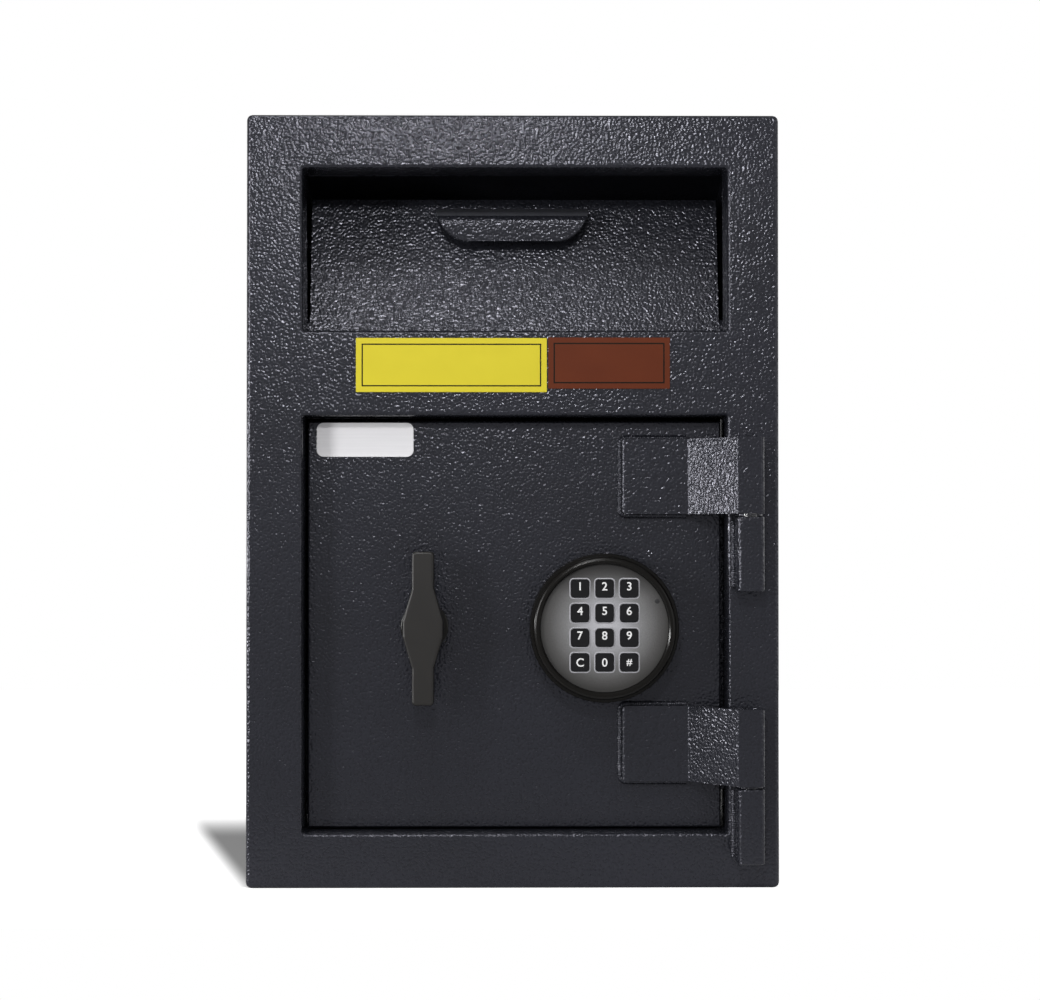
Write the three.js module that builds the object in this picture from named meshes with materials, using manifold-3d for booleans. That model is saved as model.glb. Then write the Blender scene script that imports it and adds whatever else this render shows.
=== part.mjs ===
// Drop safe: a steel box with a tilt-out deposit hopper above a recessed, strap-hinged door.
// Millimetres, +X to the right, +Y to the back, +Z up. The origin is the middle of the base.
import * as THREE from "three";
import { mergeVertices } from "three/addons/utils/BufferGeometryUtils.js";
import Module from "manifold-3d";

const wasm = await Module();
wasm.setup();

// Steel body
const bodyWidth = 350;
const bodyDepth = 356;
const bodyHeight = 508;
const bodyWall = 3.4;
const bodyBendRadius = 3.6;
const frontEdgeRadius = 2.5;
const frontFlangeDepth = 16;
const backInset = 3;
const anchorHoleRadius = 6.5;
const anchorInsetX = 48;
const anchorInsetY = 62;

// Openings of the front frame and their turned-in returns
const frameMarginLeft = 37;
const frameMarginRight = 33.7;
const frameMarginTop = 35.1;
const sillHeight = 36;
const barHeight = 56.1;
const hopperOpeningHeight = 107;
const returnDepth = 34;
const openingCornerRadius = 1.5;
const openingEdgeRadius = 2.5;

// Clearances shared by every piece
const seatGap = 0.3;
const runningGap = 0.4;
const overrun = 5;
const mergeDistance = 0.0001;

// Door leaf
const leafRecess = 20;
const leafThickness = 12.7;
const leafGapLeft = 2;
const leafGapRight = 2.9;
const leafGapTop = 2.9;
const leafGapBottom = 1.3;
const leafEdgeChamfer = 1;
const leafDraft = 1.8;
const leafDraftStart = 1.5;
const cableHoleRadius = 5;

// Strap hinges
const knuckleWidth = 17.6;
const knuckleMargin = 4.3;
const knuckleHeightShare = 0.1815;
const knuckleEdgeRadius = 3;
const knuckleHeelRadius = 8;
const knuckleStandOff = 1;
const hingeProjection = 22;
const hingePinRadius = 5;
const hingePinInset = 2;
const washerRadius = 8.6;
const washerGap = 1.6;
const strapThickness = 8;
const strapHeightShare = 0.1847;
const strapLength = 82;
const strapRampLength = 29.3;
const strapCornerRadius = 3;
const strapBendRadius = 2;
const upperStrapDropShare = 0.0438;
const lowerStrapGap = 3.1;

// Fixed bar on the hinge side
const jambClearance = 3.5;
const deadBarThickness = 10;
const deadBarFootLeft = 22;
const deadBarFootRight = 3.8;
const deadBarReach = 17;
const deadBarEndMargin = 23;

// Locking bolts and their carriage
const boltRadius = 9.5;
const boltSpacingShare = 0.2967;
const boltTravel = 28;
const boltTipInset = 8;
const boltTipChamfer = 1.5;
const boltTenonRadius = 4;
const boltTenonLength = 12.5;
const nutThickness = 6.5;
const nutCornerRadius = 7.4;
const guideThickness = 5;
const guideInset = 12;
const guideFootWidth = 13;
const guideFootThickness = 4;
const guideDepth = 28.3;
const guideEndMargin = 29;
const carriageStopGap = 3;
const carriageThickness = 5;
const carriageLeafGap = 1.5;
const carriageFlangeDepth = 25.8;
const carriageStripWidth = 16;
const carriageEndMargin = 25;
const carriageCornerRadius = 3;
const pinArmDrop = 9;
const pinArmLength = 58;
const lowerArmRise = 18;
const lowerArmHeight = 20;
const lockArmHeight = 14;
const studRadius = 4;
const studHeadRadius = 7.5;
const studHeadThickness = 3;
const studInset = 16;

// Handle
const spindleSpineGap = 13.4;
const lockLineDrop = 1.6;
const handleTurn = THREE.MathUtils.degToRad(60);
const bladeLength = 100.3;
const bladeEndWidth = 14.4;
const bladeMiddleWidth = 26.4;
const bladeFlare = 26;
const bladeFlat = 5.5;
const bladeThickness = 12;
const bladeStandOff = 20;
const bladeEdgeRadius = 1.5;
const bladeCornerRadius = 2.5;
const hubRadius = 11;
const collarRadius = 16;
const collarThickness = 3;
const spindleRadius = 8;
const spindleSocketDepth = 18;
const crankTenonRadius = 6;
const crankThickness = 6;
const crankHubRadius = 13;
const crankEndRadius = 9;
const crankPinRadius = 5;
const crankGap = 1;
const crankPinClearance = 0.5;
const crankSlotLength = 16;
const crankNutThickness = 6;
const crankNutCornerRadius = 10.5;

// Lock behind the leaf
const lockWidth = 60.5;
const lockHeight = 85;
const lockDepth = 32;
const lockRise = 40;
const lockCornerRadius = 4;
const latchWidth = 12;
const latchThickness = 9;
const latchLength = 30;
const latchTravel = 9;
const latchSideGap = 2;
const lugGap = 1.5;

// Keypad
const keypadShare = 0.3975;
const keypadRadius = 49;
const keypadBaseHeight = 15;
const keypadBezelHeight = 13;
const keypadSeam = 0.8;
const bezelStep = 2;
const bezelRound = 3;
const bezelCrestWidth = 2;
const faceRadius = 41.9;
const faceRecess = 3;
const faceThickness = 2;
const faceLedgeWidth = 2;
const boardThickness = 1.6;
const keyPitch = 16.1;
const keySize = 11.5;
const keyCornerRadius = 2;
const keyProud = 0.9;
const keyFlange = 0.9;
const keyFlangeThickness = 1.6;
const keyStemRadius = 2.5;
const keyStemGap = 1.6;
const keyGridRise = 1.8;
const keyNames = [
  ["key_1", "key_2", "key_3"],
  ["key_4", "key_5", "key_6"],
  ["key_7", "key_8", "key_9"],
  ["key_clear", "key_0", "key_hash"],
];

// Tilt-out hopper
const pivotDepth = 52;
const pivotRise = 4.1;
const hopperGapLeft = 0.8;
const hopperGapRight = 1.2;
const hopperLean = THREE.MathUtils.degToRad(12.5);
const hopperSwing = THREE.MathUtils.degToRad(58);
const trayAngle = THREE.MathUtils.degToRad(95);
const trayThickness = 2.5;
const trayBendRadius = 6;
const trayPanelLength = 92.5;
const trayDropLength = 110;
const cheekThickness = 2;
const cheekRadius = 87;
const pivotPinRadius = 5;
const pivotCollarRadius = 8;
const pivotPinEnd = 2;
const pullRootWidth = 104;
const pullWidth = 99.6;
const pullThickness = 3;
const pullCrestOut = 17.7;
const pullCrestRise = 68;
const pullRootRise = 84.5;
const pullLipRise = 54.5;
const pullLipOut = 14.7;
const pullBendRadius = 5;
const pullCornerRadius = 20;

// Hood and side plates round the hopper
const hoodRoofGap = 19.6;
const hoodThickness = 2;
const hoodEndAngle = THREE.MathUtils.degToRad(12);
const sideThickness = 3;
const sideEndAngle = THREE.MathUtils.degToRad(-28);
const sideFrontInset = 8;
const sideToeDrop = 14;
const sideHeelDrop = 24;
const stopRadius = 4;
const stopReach = 16;

// Facets
const bendSteps = 3;
const edgeSteps = 3;
const arcSteps = 16;
const smallCircleSides = 16;
const largeCircleSides = 24;
const keypadSides = 48;
const nutSides = 6;
const keyStemSides = 8;

// Places worked out from the sizes
const bodyLeft = -bodyWidth / 2;
const bodyRight = bodyWidth / 2;
const frontY = -bodyDepth / 2;
const backY = bodyDepth / 2;
const openingLeft = bodyLeft + frameMarginLeft;
const openingRight = bodyRight - frameMarginRight;
const hopperOpeningTop = bodyHeight - frameMarginTop;
const hopperOpeningBottom = hopperOpeningTop - hopperOpeningHeight;
const doorOpeningTop = hopperOpeningBottom - barHeight;
const returnRearY = frontY + returnDepth;
const leafLeft = openingLeft + leafGapLeft;
const leafRight = openingRight - leafGapRight;
const leafBottom = sillHeight + leafGapBottom;
const leafTop = doorOpeningTop - leafGapTop;
const leafFrontY = frontY + leafRecess;
const leafRearY = leafFrontY + leafThickness;
const leafHeight = leafTop - leafBottom;
const lockLineZ = (leafBottom + leafTop) / 2 - lockLineDrop;
const knuckleLeft = openingRight + knuckleMargin;
const knuckleRight = knuckleLeft + knuckleWidth;
const hingeFaceY = frontY - hingeProjection;
const hingeX = (knuckleLeft + knuckleRight) / 2;
const hingeY = (hingeFaceY + frontY - knuckleStandOff) / 2;
const boltY = returnRearY + jambClearance + boltRadius;
const boltSpacing = leafHeight * boltSpacingShare;
const boltHeights = [lockLineZ - boltSpacing, lockLineZ, lockLineZ + boltSpacing];
const guideLeft = leafLeft + guideInset;
const guideRight = guideLeft + guideThickness;
const carriageLeft = guideRight + boltTravel + carriageStopGap;
const carriageFrontY = leafRearY + carriageLeafGap;
const carriageRearY = carriageFrontY + carriageThickness;
const handleX = carriageLeft + carriageStripWidth + spindleSpineGap;
const keypadX = leafRight - (leafRight - handleX) * keypadShare;
const crankRadius = boltTravel / (2 * Math.sin(handleTurn / 2));
const crankPinX = handleX + crankRadius * Math.sin(handleTurn / 2);
const crankPinZ = lockLineZ + crankRadius * Math.cos(handleTurn / 2);
const crankPinTopZ = lockLineZ + crankRadius;
const crankFrontY = carriageRearY + crankGap;
const crankRearY = crankFrontY + crankThickness;
const lockTop = lockLineZ + lockRise;
const latchLeft = keypadX - latchWidth / 2;
const latchRight = keypadX + latchWidth / 2;
const pivotY = frontY + pivotDepth;
const pivotZ = hopperOpeningBottom + pivotRise;
const trayLeft = openingLeft + hopperGapLeft;
const trayRight = openingRight - hopperGapRight;
const sideInnerLeft = openingLeft - bodyWall;
const sideInnerRight = openingRight + bodyWall;
const hoodRadius = bodyHeight - bodyWall - hoodRoofGap - hoodThickness - pivotZ;
const stopCircleRadius = (cheekRadius + hoodRadius) / 2;
const strapHeight = leafHeight * strapHeightShare;
const knuckleHeight = leafHeight * knuckleHeightShare;

// Vectors that turn a flat outline towards one axis of the body
const alongX = new THREE.Vector3(1, 0, 0);
const alongY = new THREE.Vector3(0, 1, 0);
const alongZ = new THREE.Vector3(0, 0, 1);
const outlineBases = {
  x: new THREE.Matrix4().makeBasis(alongY, alongZ, alongX),
  y: new THREE.Matrix4().makeBasis(alongX, alongZ, alongY.clone().negate()),
  z: new THREE.Matrix4().makeBasis(alongX, alongY, alongZ),
};

// A closed solid from a geometry, with its faces turned outward
function solidOf(geometry) {
  geometry.deleteAttribute("normal");
  geometry.deleteAttribute("uv");
  const merged = mergeVertices(geometry, mergeDistance);
  const vertProperties = Float32Array.from(merged.getAttribute("position").array);
  const corners = merged.getIndex().array;
  const a = new THREE.Vector3();
  const b = new THREE.Vector3();
  const c = new THREE.Vector3();
  const faces = [];
  let volume = 0;
  for (let i = 0; i < corners.length; i += 3) {
    const face = [corners[i], corners[i + 1], corners[i + 2]];
    if (new Set(face).size === face.length) {
      a.fromArray(vertProperties, 3 * face[0]);
      b.fromArray(vertProperties, 3 * face[1]);
      c.fromArray(vertProperties, 3 * face[2]);
      volume += a.dot(b.cross(c));
      faces.push(face);
    }
  }
  const outward = volume > 0 ? faces : faces.map((face) => face.reverse());
  const triVerts = Uint32Array.from(outward.flat());
  return new wasm.Manifold(new wasm.Mesh({ numProp: 3, vertProperties, triVerts }));
}

// Points of an outline or open line whose corners are given as [u, v, radius]
function roundedPoints(corners, closed = true) {
  const count = corners.length;
  const points = [];
  corners.forEach(([u, v, radius = 0], i) => {
    const corner = new THREE.Vector2(u, v);
    const isEnd = !closed && (i === 0 || i === count - 1);
    if (radius === 0 || isEnd) {
      points.push(corner);
      return;
    }
    const before = new THREE.Vector2(...corners[(i + count - 1) % count]).sub(corner).normalize();
    const after = new THREE.Vector2(...corners[(i + 1) % count]).sub(corner).normalize();
    const halfAngle = Math.acos(before.dot(after)) / 2;
    const toCentre = before.clone().add(after).normalize();
    const centre = corner.clone().addScaledVector(toCentre, radius / Math.sin(halfAngle));
    const startAngle = before.multiplyScalar(radius / Math.tan(halfAngle)).add(corner).sub(centre).angle();
    const endAngle = after.multiplyScalar(radius / Math.tan(halfAngle)).add(corner).sub(centre).angle();
    const turn = Math.atan2(Math.sin(endAngle - startAngle), Math.cos(endAngle - startAngle));
    points.push(...arcPoints(centre.x, centre.y, radius, startAngle, startAngle + turn, bendSteps));
  });
  return points;
}

// Points along an arc, both ends included
function arcPoints(u, v, radius, startAngle, endAngle, steps) {
  const points = [];
  for (let i = 0; i <= steps; i += 1) {
    const angle = startAngle + (endAngle - startAngle) * (i / steps);
    points.push(new THREE.Vector2(u + radius * Math.cos(angle), v + radius * Math.sin(angle)));
  }
  return points;
}

// Points of a full circle or a regular nut
function circlePoints(u, v, radius, sides) {
  return arcPoints(u, v, radius, 0, 2 * Math.PI * (1 - 1 / sides), sides - 1);
}

// Corners of an upright rectangle, anticlockwise from bottom left
function rectangleCorners(left, right, bottom, top, radius = 0) {
  return [[left, bottom, radius], [right, bottom, radius], [right, top, radius], [left, top, radius]];
}

// Outline of a sheet of even thickness laid along a centreline
function sheetPoints(centreline, thickness) {
  const last = centreline.length - 1;
  const oneSide = [];
  const otherSide = [];
  centreline.forEach((point, i) => {
    const from = centreline[Math.max(i - 1, 0)];
    const to = centreline[Math.min(i + 1, last)];
    const arriving = (i === 0 ? to.clone().sub(point) : point.clone().sub(from)).normalize();
    const leaving = (i === last ? point.clone().sub(from) : to.clone().sub(point)).normalize();
    const along = arriving.clone().add(leaving).normalize();
    const across = new THREE.Vector2(-along.y, along.x);
    const reach = thickness / 2 / along.dot(arriving);
    oneSide.push(point.clone().addScaledVector(across, reach));
    otherSide.unshift(point.clone().addScaledVector(across, -reach));
  });
  return [...oneSide, ...otherSide];
}

// Outline of a link between two round ends
function linkPoints(u1, v1, radius1, u2, v2, radius2) {
  const span = new THREE.Vector2(u2 - u1, v2 - v1);
  const lie = span.angle();
  const spread = Math.acos((radius1 - radius2) / span.length());
  return [
    ...arcPoints(u1, v1, radius1, lie + spread, lie + 2 * Math.PI - spread, arcSteps),
    ...arcPoints(u2, v2, radius2, lie - spread, lie + spread, arcSteps),
  ];
}

// An outline carried along one axis
function prism(points, axis, from, to, options = { bevelEnabled: false }) {
  const geometry = new THREE.ExtrudeGeometry(new THREE.Shape(points), { depth: to - from, ...options });
  geometry.applyMatrix4(outlineBases[axis]);
  const start = axis === "y" ? to : from;
  geometry.translate(axis === "x" ? start : 0, axis === "y" ? start : 0, axis === "z" ? start : 0);
  return solidOf(geometry);
}

function box(left, right, front, back, bottom, top) {
  const geometry = new THREE.BoxGeometry(right - left, back - front, top - bottom);
  geometry.translate((left + right) / 2, (front + back) / 2, (bottom + top) / 2);
  return solidOf(geometry);
}

function rod(axis, u, v, radius, from, to, sides = smallCircleSides) {
  return prism(circlePoints(u, v, radius, sides), axis, from, to);
}

// A profile of [radius, y] turned about a line along Y through (x, z)
function turned(profile, x, z, sides) {
  const geometry = new THREE.LatheGeometry(profile.map(([radius, y]) => new THREE.Vector2(radius, y)), sides);
  geometry.translate(x, 0, z);
  return solidOf(geometry);
}

// Outlines at several depths, joined from the front one to the rear one
function lofted(levels) {
  const count = levels[0].points.length;
  const positions = [];
  const indices = [];
  levels.forEach(({ y, points }, level) => {
    points.forEach((point) => positions.push(point.x, y, point.y));
    for (let i = 0; i < count && level > 0; i += 1) {
      const next = (i + 1) % count;
      const front = (level - 1) * count;
      const rear = level * count;
      indices.push(front + i, rear + i, rear + next, front + i, rear + next, front + next);
    }
  });
  const lastStart = (levels.length - 1) * count;
  THREE.ShapeUtils.triangulateShape(levels[0].points, []).forEach(([a, b, c]) => indices.push(a, b, c));
  THREE.ShapeUtils.triangulateShape(levels[levels.length - 1].points, []).forEach(([a, b, c]) => {
    indices.push(lastStart + a, lastStart + c, lastStart + b);
  });
  const geometry = new THREE.BufferGeometry();
  geometry.setAttribute("position", new THREE.Float32BufferAttribute(positions, 3));
  geometry.setIndex(indices);
  return solidOf(geometry);
}

// How far a rounded edge is drawn in at each depth below its face
function quarterRound(radius) {
  const levels = [];
  for (let i = 0; i <= edgeSteps; i += 1) {
    const angle = (Math.PI / 2) * (i / edgeSteps);
    levels.push({ inset: radius * (1 - Math.sin(angle)), depth: radius * (1 - Math.cos(angle)) });
  }
  return levels;
}

function join(solids) {
  return solids.reduce((whole, solid) => whole.add(solid));
}

function cut(solid, cutters) {
  return cutters.reduce((rest, cutter) => rest.subtract(cutter), solid);
}

// Finishes of the real pieces
function steelPaint() {
  return new THREE.MeshStandardMaterial({ color: "#2f3237", roughness: 0.55, metalness: 0.1 });
}

function zincPlate() {
  return new THREE.MeshStandardMaterial({ color: "#b9b8ae", roughness: 0.4, metalness: 0.9 });
}

function brightSteel() {
  return new THREE.MeshStandardMaterial({ color: "#c6c7ca", roughness: 0.3, metalness: 1 });
}

function blackPlastic() {
  return new THREE.MeshStandardMaterial({ color: "#1f1f20", roughness: 0.4, metalness: 0 });
}

function handlePaint() {
  return new THREE.MeshStandardMaterial({ color: "#3a3736", roughness: 0.6, metalness: 0.2 });
}

function brushedFace() {
  return new THREE.MeshStandardMaterial({ color: "#8f8f92", roughness: 0.35, metalness: 0.9 });
}

function lockCasting() {
  return new THREE.MeshStandardMaterial({ color: "#8d8f92", roughness: 0.5, metalness: 0.8 });
}

function boardGreen() {
  return new THREE.MeshStandardMaterial({ color: "#1d4a2c", roughness: 0.6, metalness: 0 });
}

function addPiece(group, name, solid, material) {
  const shape = solid.getMesh();
  const geometry = new THREE.BufferGeometry();
  geometry.setAttribute("position", new THREE.BufferAttribute(shape.vertProperties, 3));
  geometry.setIndex(new THREE.BufferAttribute(shape.triVerts, 1));
  geometry.computeVertexNormals();
  const mesh = new THREE.Mesh(geometry, material);
  mesh.name = name;
  group.add(mesh);
}

const safe = new THREE.Group();

// The four walls are one sheet bent round with small corner bends; the floor has the anchor holes.
function bodyWrap() {
  const inside = bodyBendRadius - bodyWall;
  const outer = roundedPoints(rectangleCorners(bodyLeft, bodyRight, 0, bodyHeight, bodyBendRadius));
  const inner = roundedPoints(
    rectangleCorners(bodyLeft + bodyWall, bodyRight - bodyWall, bodyWall, bodyHeight - bodyWall, inside),
  );
  const tubeFrontY = frontY + frontFlangeDepth;
  const tube = prism(outer, "y", tubeFrontY, backY);
  const hollow = prism(inner, "y", tubeFrontY - overrun, backY + overrun);
  const holes = [bodyLeft + anchorInsetX, bodyRight - anchorInsetX].flatMap((x) =>
    [frontY + anchorInsetY, backY - anchorInsetY].map((y) =>
      rod("z", x, y, anchorHoleRadius, -overrun, bodyWall + overrun)));
  return cut(tube, [hollow, ...holes]);
}

// The front is a shallow pan with rounded edges, and each opening's edge is turned in to a deep return.
function frontFrame() {
  const panLevels = quarterRound(frontEdgeRadius).map(({ inset, depth }) => ({
    y: frontY + depth,
    points: roundedPoints(rectangleCorners(
      bodyLeft + inset, bodyRight - inset, inset, bodyHeight - inset, bodyBendRadius - inset,
    )),
  }));
  const rearOutline = rectangleCorners(bodyLeft, bodyRight, 0, bodyHeight, bodyBendRadius);
  panLevels.push({ y: frontY + frontFlangeDepth, points: roundedPoints(rearOutline) });
  const hollow = prism(
    roundedPoints(rectangleCorners(
      bodyLeft + bodyWall, bodyRight - bodyWall, bodyWall, bodyHeight - bodyWall, bodyBendRadius - bodyWall,
    )),
    "y", frontY + bodyWall, frontY + frontFlangeDepth + overrun,
  );
  let frame = lofted(panLevels).subtract(hollow);
  const openings = [[sillHeight, doorOpeningTop], [hopperOpeningBottom, hopperOpeningTop]];
  for (const [bottom, top] of openings) {
    const sleeve = prism(
      roundedPoints(rectangleCorners(
        openingLeft - bodyWall, openingRight + bodyWall, bottom - bodyWall, top + bodyWall,
        openingCornerRadius + bodyWall,
      )),
      "y", frontY + bodyWall / 2, returnRearY,
    );
    frame = frame.add(sleeve);
  }
  return cut(frame, openings.map(([bottom, top]) => openingCutter(bottom, top)));
}

function openingCutter(bottom, top) {
  const outline = (grow) => roundedPoints(rectangleCorners(
    openingLeft - grow, openingRight + grow, bottom - grow, top + grow, openingCornerRadius + grow,
  ));
  const levels = [{ y: frontY - overrun, points: outline(openingEdgeRadius) }];
  quarterRound(openingEdgeRadius).forEach(({ inset, depth }) => {
    levels.push({ y: frontY + depth, points: outline(inset) });
  });
  levels.push({ y: returnRearY + overrun, points: outline(0) });
  return lofted(levels);
}

function backPlate() {
  const side = bodyWall + seatGap;
  const rearY = backY - backInset;
  return box(bodyLeft + side, bodyRight - side, rearY - bodyWall, rearY, side, bodyHeight - side);
}

addPiece(safe, "body_wrap", bodyWrap(), steelPaint());
addPiece(safe, "front_frame", frontFrame(), steelPaint());
addPiece(safe, "back_plate", backPlate(), steelPaint());

// The door leaf is a thick plate whose free edge is planed back so that it clears the jamb as it swings.
function doorPlate() {
  const level = (y, left, inset) => ({
    y,
    points: roundedPoints(rectangleCorners(left, leafRight - inset, leafBottom + inset, leafTop - inset)),
  });
  const leaf = lofted([
    level(leafFrontY, leafLeft + leafEdgeChamfer, leafEdgeChamfer),
    level(leafFrontY + leafEdgeChamfer, leafLeft, 0),
    level(leafFrontY + leafDraftStart, leafLeft, 0),
    level(leafRearY, leafLeft + leafDraft, 0),
  ]);
  const holeFrontY = leafFrontY - overrun;
  const holeRearY = leafRearY + overrun;
  return cut(leaf, [
    rod("y", handleX, lockLineZ, spindleRadius + runningGap, holeFrontY, holeRearY, largeCircleSides),
    rod("y", keypadX, lockLineZ, cableHoleRadius, holeFrontY, holeRearY),
  ]);
}

addPiece(safe, "door_plate", doorPlate(), steelPaint());

// Each strap lies flat on the leaf, ramps out past the jamb and ends in a solid knuckle.
function hingeStrap(bottomZ) {
  const leftX = hingeX - strapLength;
  const rampStartX = knuckleLeft - strapRampLength;
  const flatFrontY = leafFrontY - strapThickness;
  const ramp = new THREE.Vector2(knuckleLeft - rampStartX, hingeFaceY - flatFrontY).normalize();
  const behind = new THREE.Vector2(-ramp.y, ramp.x).multiplyScalar(strapThickness);
  const rearStart = new THREE.Vector2(rampStartX, flatFrontY).add(behind);
  const rearFootX = rearStart.x + (leafFrontY - rearStart.y) * (ramp.x / ramp.y);
  const rearHeadY = rearStart.y + (knuckleLeft - rearStart.x) * (ramp.y / ramp.x);
  const side = prism(roundedPoints([
    [leftX, leafFrontY],
    [leftX, flatFrontY, strapBendRadius],
    [rampStartX, flatFrontY, strapBendRadius],
    [knuckleLeft, hingeFaceY, strapBendRadius],
    [knuckleRight, hingeFaceY, knuckleEdgeRadius],
    [knuckleRight, frontY - knuckleStandOff, knuckleHeelRadius],
    [knuckleLeft, frontY - knuckleStandOff],
    [knuckleLeft, rearHeadY],
    [rearFootX, leafFrontY],
  ]), "z", bottomZ, bottomZ + strapHeight);
  const face = prism(roundedPoints([
    [leftX, bottomZ, strapCornerRadius],
    [knuckleRight + overrun, bottomZ],
    [knuckleRight + overrun, bottomZ + strapHeight],
    [leftX, bottomZ + strapHeight, strapCornerRadius],
  ]), "y", hingeFaceY - overrun, leafFrontY + overrun);
  const hole = rod("z", hingeX, hingeY, hingePinRadius + runningGap, bottomZ - overrun,
    bottomZ + strapHeight + overrun);
  return side.intersect(face).subtract(hole);
}

// The body's knuckle is a block on the frame that carries the pin and a washer under the strap.
function bodyKnuckle(topZ) {
  const block = prism(roundedPoints([
    [knuckleLeft, frontY],
    [knuckleLeft, hingeFaceY, knuckleEdgeRadius],
    [knuckleRight, hingeFaceY, knuckleEdgeRadius],
    [knuckleRight, frontY],
  ]), "z", topZ - knuckleHeight, topZ);
  const holeBottomZ = topZ - knuckleHeight - overrun;
  return block.subtract(rod("z", hingeX, hingeY, hingePinRadius + seatGap, holeBottomZ, topZ + overrun));
}

function hingeWasher(topZ) {
  const ring = rod("z", hingeX, hingeY, washerRadius, topZ + seatGap, topZ + washerGap - seatGap,
    largeCircleSides);
  return ring.subtract(rod("z", hingeX, hingeY, hingePinRadius + seatGap, topZ, topZ + washerGap));
}

const strapBottoms = {
  upper: leafTop - leafHeight * upperStrapDropShare - strapHeight,
  lower: lockLineZ - keypadRadius - lowerStrapGap - strapHeight,
};
for (const [place, bottomZ] of Object.entries(strapBottoms)) {
  const knuckleTopZ = bottomZ - washerGap;
  const pinBottomZ = knuckleTopZ - knuckleHeight + hingePinInset;
  const pinTopZ = bottomZ + strapHeight - hingePinInset;
  addPiece(safe, `hinge_strap_${place}`, hingeStrap(bottomZ), steelPaint());
  addPiece(safe, `hinge_knuckle_${place}`, bodyKnuckle(knuckleTopZ), steelPaint());
  addPiece(safe, `hinge_pin_${place}`, rod("z", hingeX, hingeY, hingePinRadius, pinBottomZ, pinTopZ),
    brightSteel());
  addPiece(safe, `hinge_washer_${place}`, hingeWasher(knuckleTopZ), brightSteel());
}

// The dead bar is rebated so that its foot sits on the leaf and its edge reaches behind the jamb.
function deadBar() {
  const barFrontY = returnRearY + jambClearance;
  const barLeft = leafRight - deadBarFootLeft;
  const footRight = leafRight - deadBarFootRight;
  const barRight = openingRight + deadBarReach;
  const section = [
    [barLeft, leafRearY],
    [footRight, leafRearY],
    [footRight, barFrontY],
    [barRight, barFrontY],
    [barRight, barFrontY + deadBarThickness],
    [barLeft, barFrontY + deadBarThickness],
  ];
  return prism(roundedPoints(section), "z", leafBottom + deadBarEndMargin, leafTop - deadBarEndMargin);
}

addPiece(safe, "dead_bar", deadBar(), zincPlate());

// The bolt guide is an angle with a narrow foot on the leaf and one hole for each locking bolt.
function boltGuide() {
  const bottomZ = boltHeights[0] - guideEndMargin;
  const topZ = boltHeights[2] + guideEndMargin;
  const upright = box(guideLeft, guideRight, leafRearY, leafRearY + guideDepth, bottomZ, topZ);
  const foot = box(guideRight - guideFootWidth, guideRight, leafRearY, leafRearY + guideFootThickness,
    bottomZ, topZ);
  const holes = boltHeights.map((z) => rod("x", boltY, z, boltRadius + runningGap, guideLeft - overrun,
    guideRight + overrun, largeCircleSides));
  return cut(upright.add(foot), holes);
}

addPiece(safe, "bolt_guide", boltGuide(), zincPlate());

// Each locking bolt is a round bar with a chamfered nose and a threaded tenon through the carriage.
function lockingBolt(z) {
  const noseX = leafLeft + boltTipInset;
  const bar = rod("x", boltY, z, boltRadius, noseX, carriageLeft, largeCircleSides);
  const tenon = rod("x", boltY, z, boltTenonRadius, carriageLeft - overrun, carriageLeft + boltTenonLength);
  const noseRadius = boltRadius - boltTipChamfer;
  const bore = new THREE.LatheGeometry([
    new THREE.Vector2(noseRadius, -boltTipChamfer),
    new THREE.Vector2(boltRadius + overrun, -boltTipChamfer),
    new THREE.Vector2(boltRadius + overrun, boltTipChamfer + overrun),
    new THREE.Vector2(noseRadius + 2 * boltTipChamfer + overrun, boltTipChamfer + overrun),
    new THREE.Vector2(noseRadius, 0),
    new THREE.Vector2(noseRadius, -boltTipChamfer),
  ], largeCircleSides);
  bore.rotateZ(-Math.PI / 2);
  bore.translate(noseX, boltY, z);
  return bar.add(tenon).subtract(solidOf(bore));
}

function boltNut(z) {
  const faceX = carriageLeft + carriageThickness;
  const nut = rod("x", boltY, z, nutCornerRadius, faceX, faceX + nutThickness, nutSides);
  return nut.subtract(rod("x", boltY, z, boltTenonRadius + seatGap, faceX - overrun,
    faceX + nutThickness + overrun));
}

["lower", "middle", "upper"].forEach((place, i) => {
  addPiece(safe, `locking_bolt_${place}`, lockingBolt(boltHeights[i]), brightSteel());
  addPiece(safe, `bolt_nut_${place}`, boltNut(boltHeights[i]), zincPlate());
});

// The carriage is one cut plate: a spine with a turned flange for the bolts, a short lower arm, an arm
// with the crank's slot, and a long arm that carries the lug which the lock's latch blocks.
const lockArmBottom = lockTop + latchTravel + 2 * lugGap;
const lockArmMiddle = lockArmBottom + lockArmHeight / 2;
const lowerArmMiddle = boltHeights[0] + lowerArmRise;
const armRight = carriageLeft + pinArmLength;
const lugRight = latchLeft - latchSideGap + boltTravel;
const studPlaces = {
  upper: [(armRight + lugRight - boltTravel) / 2, lockArmMiddle],
  lower: [carriageLeft + studInset, lowerArmMiddle],
};

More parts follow.
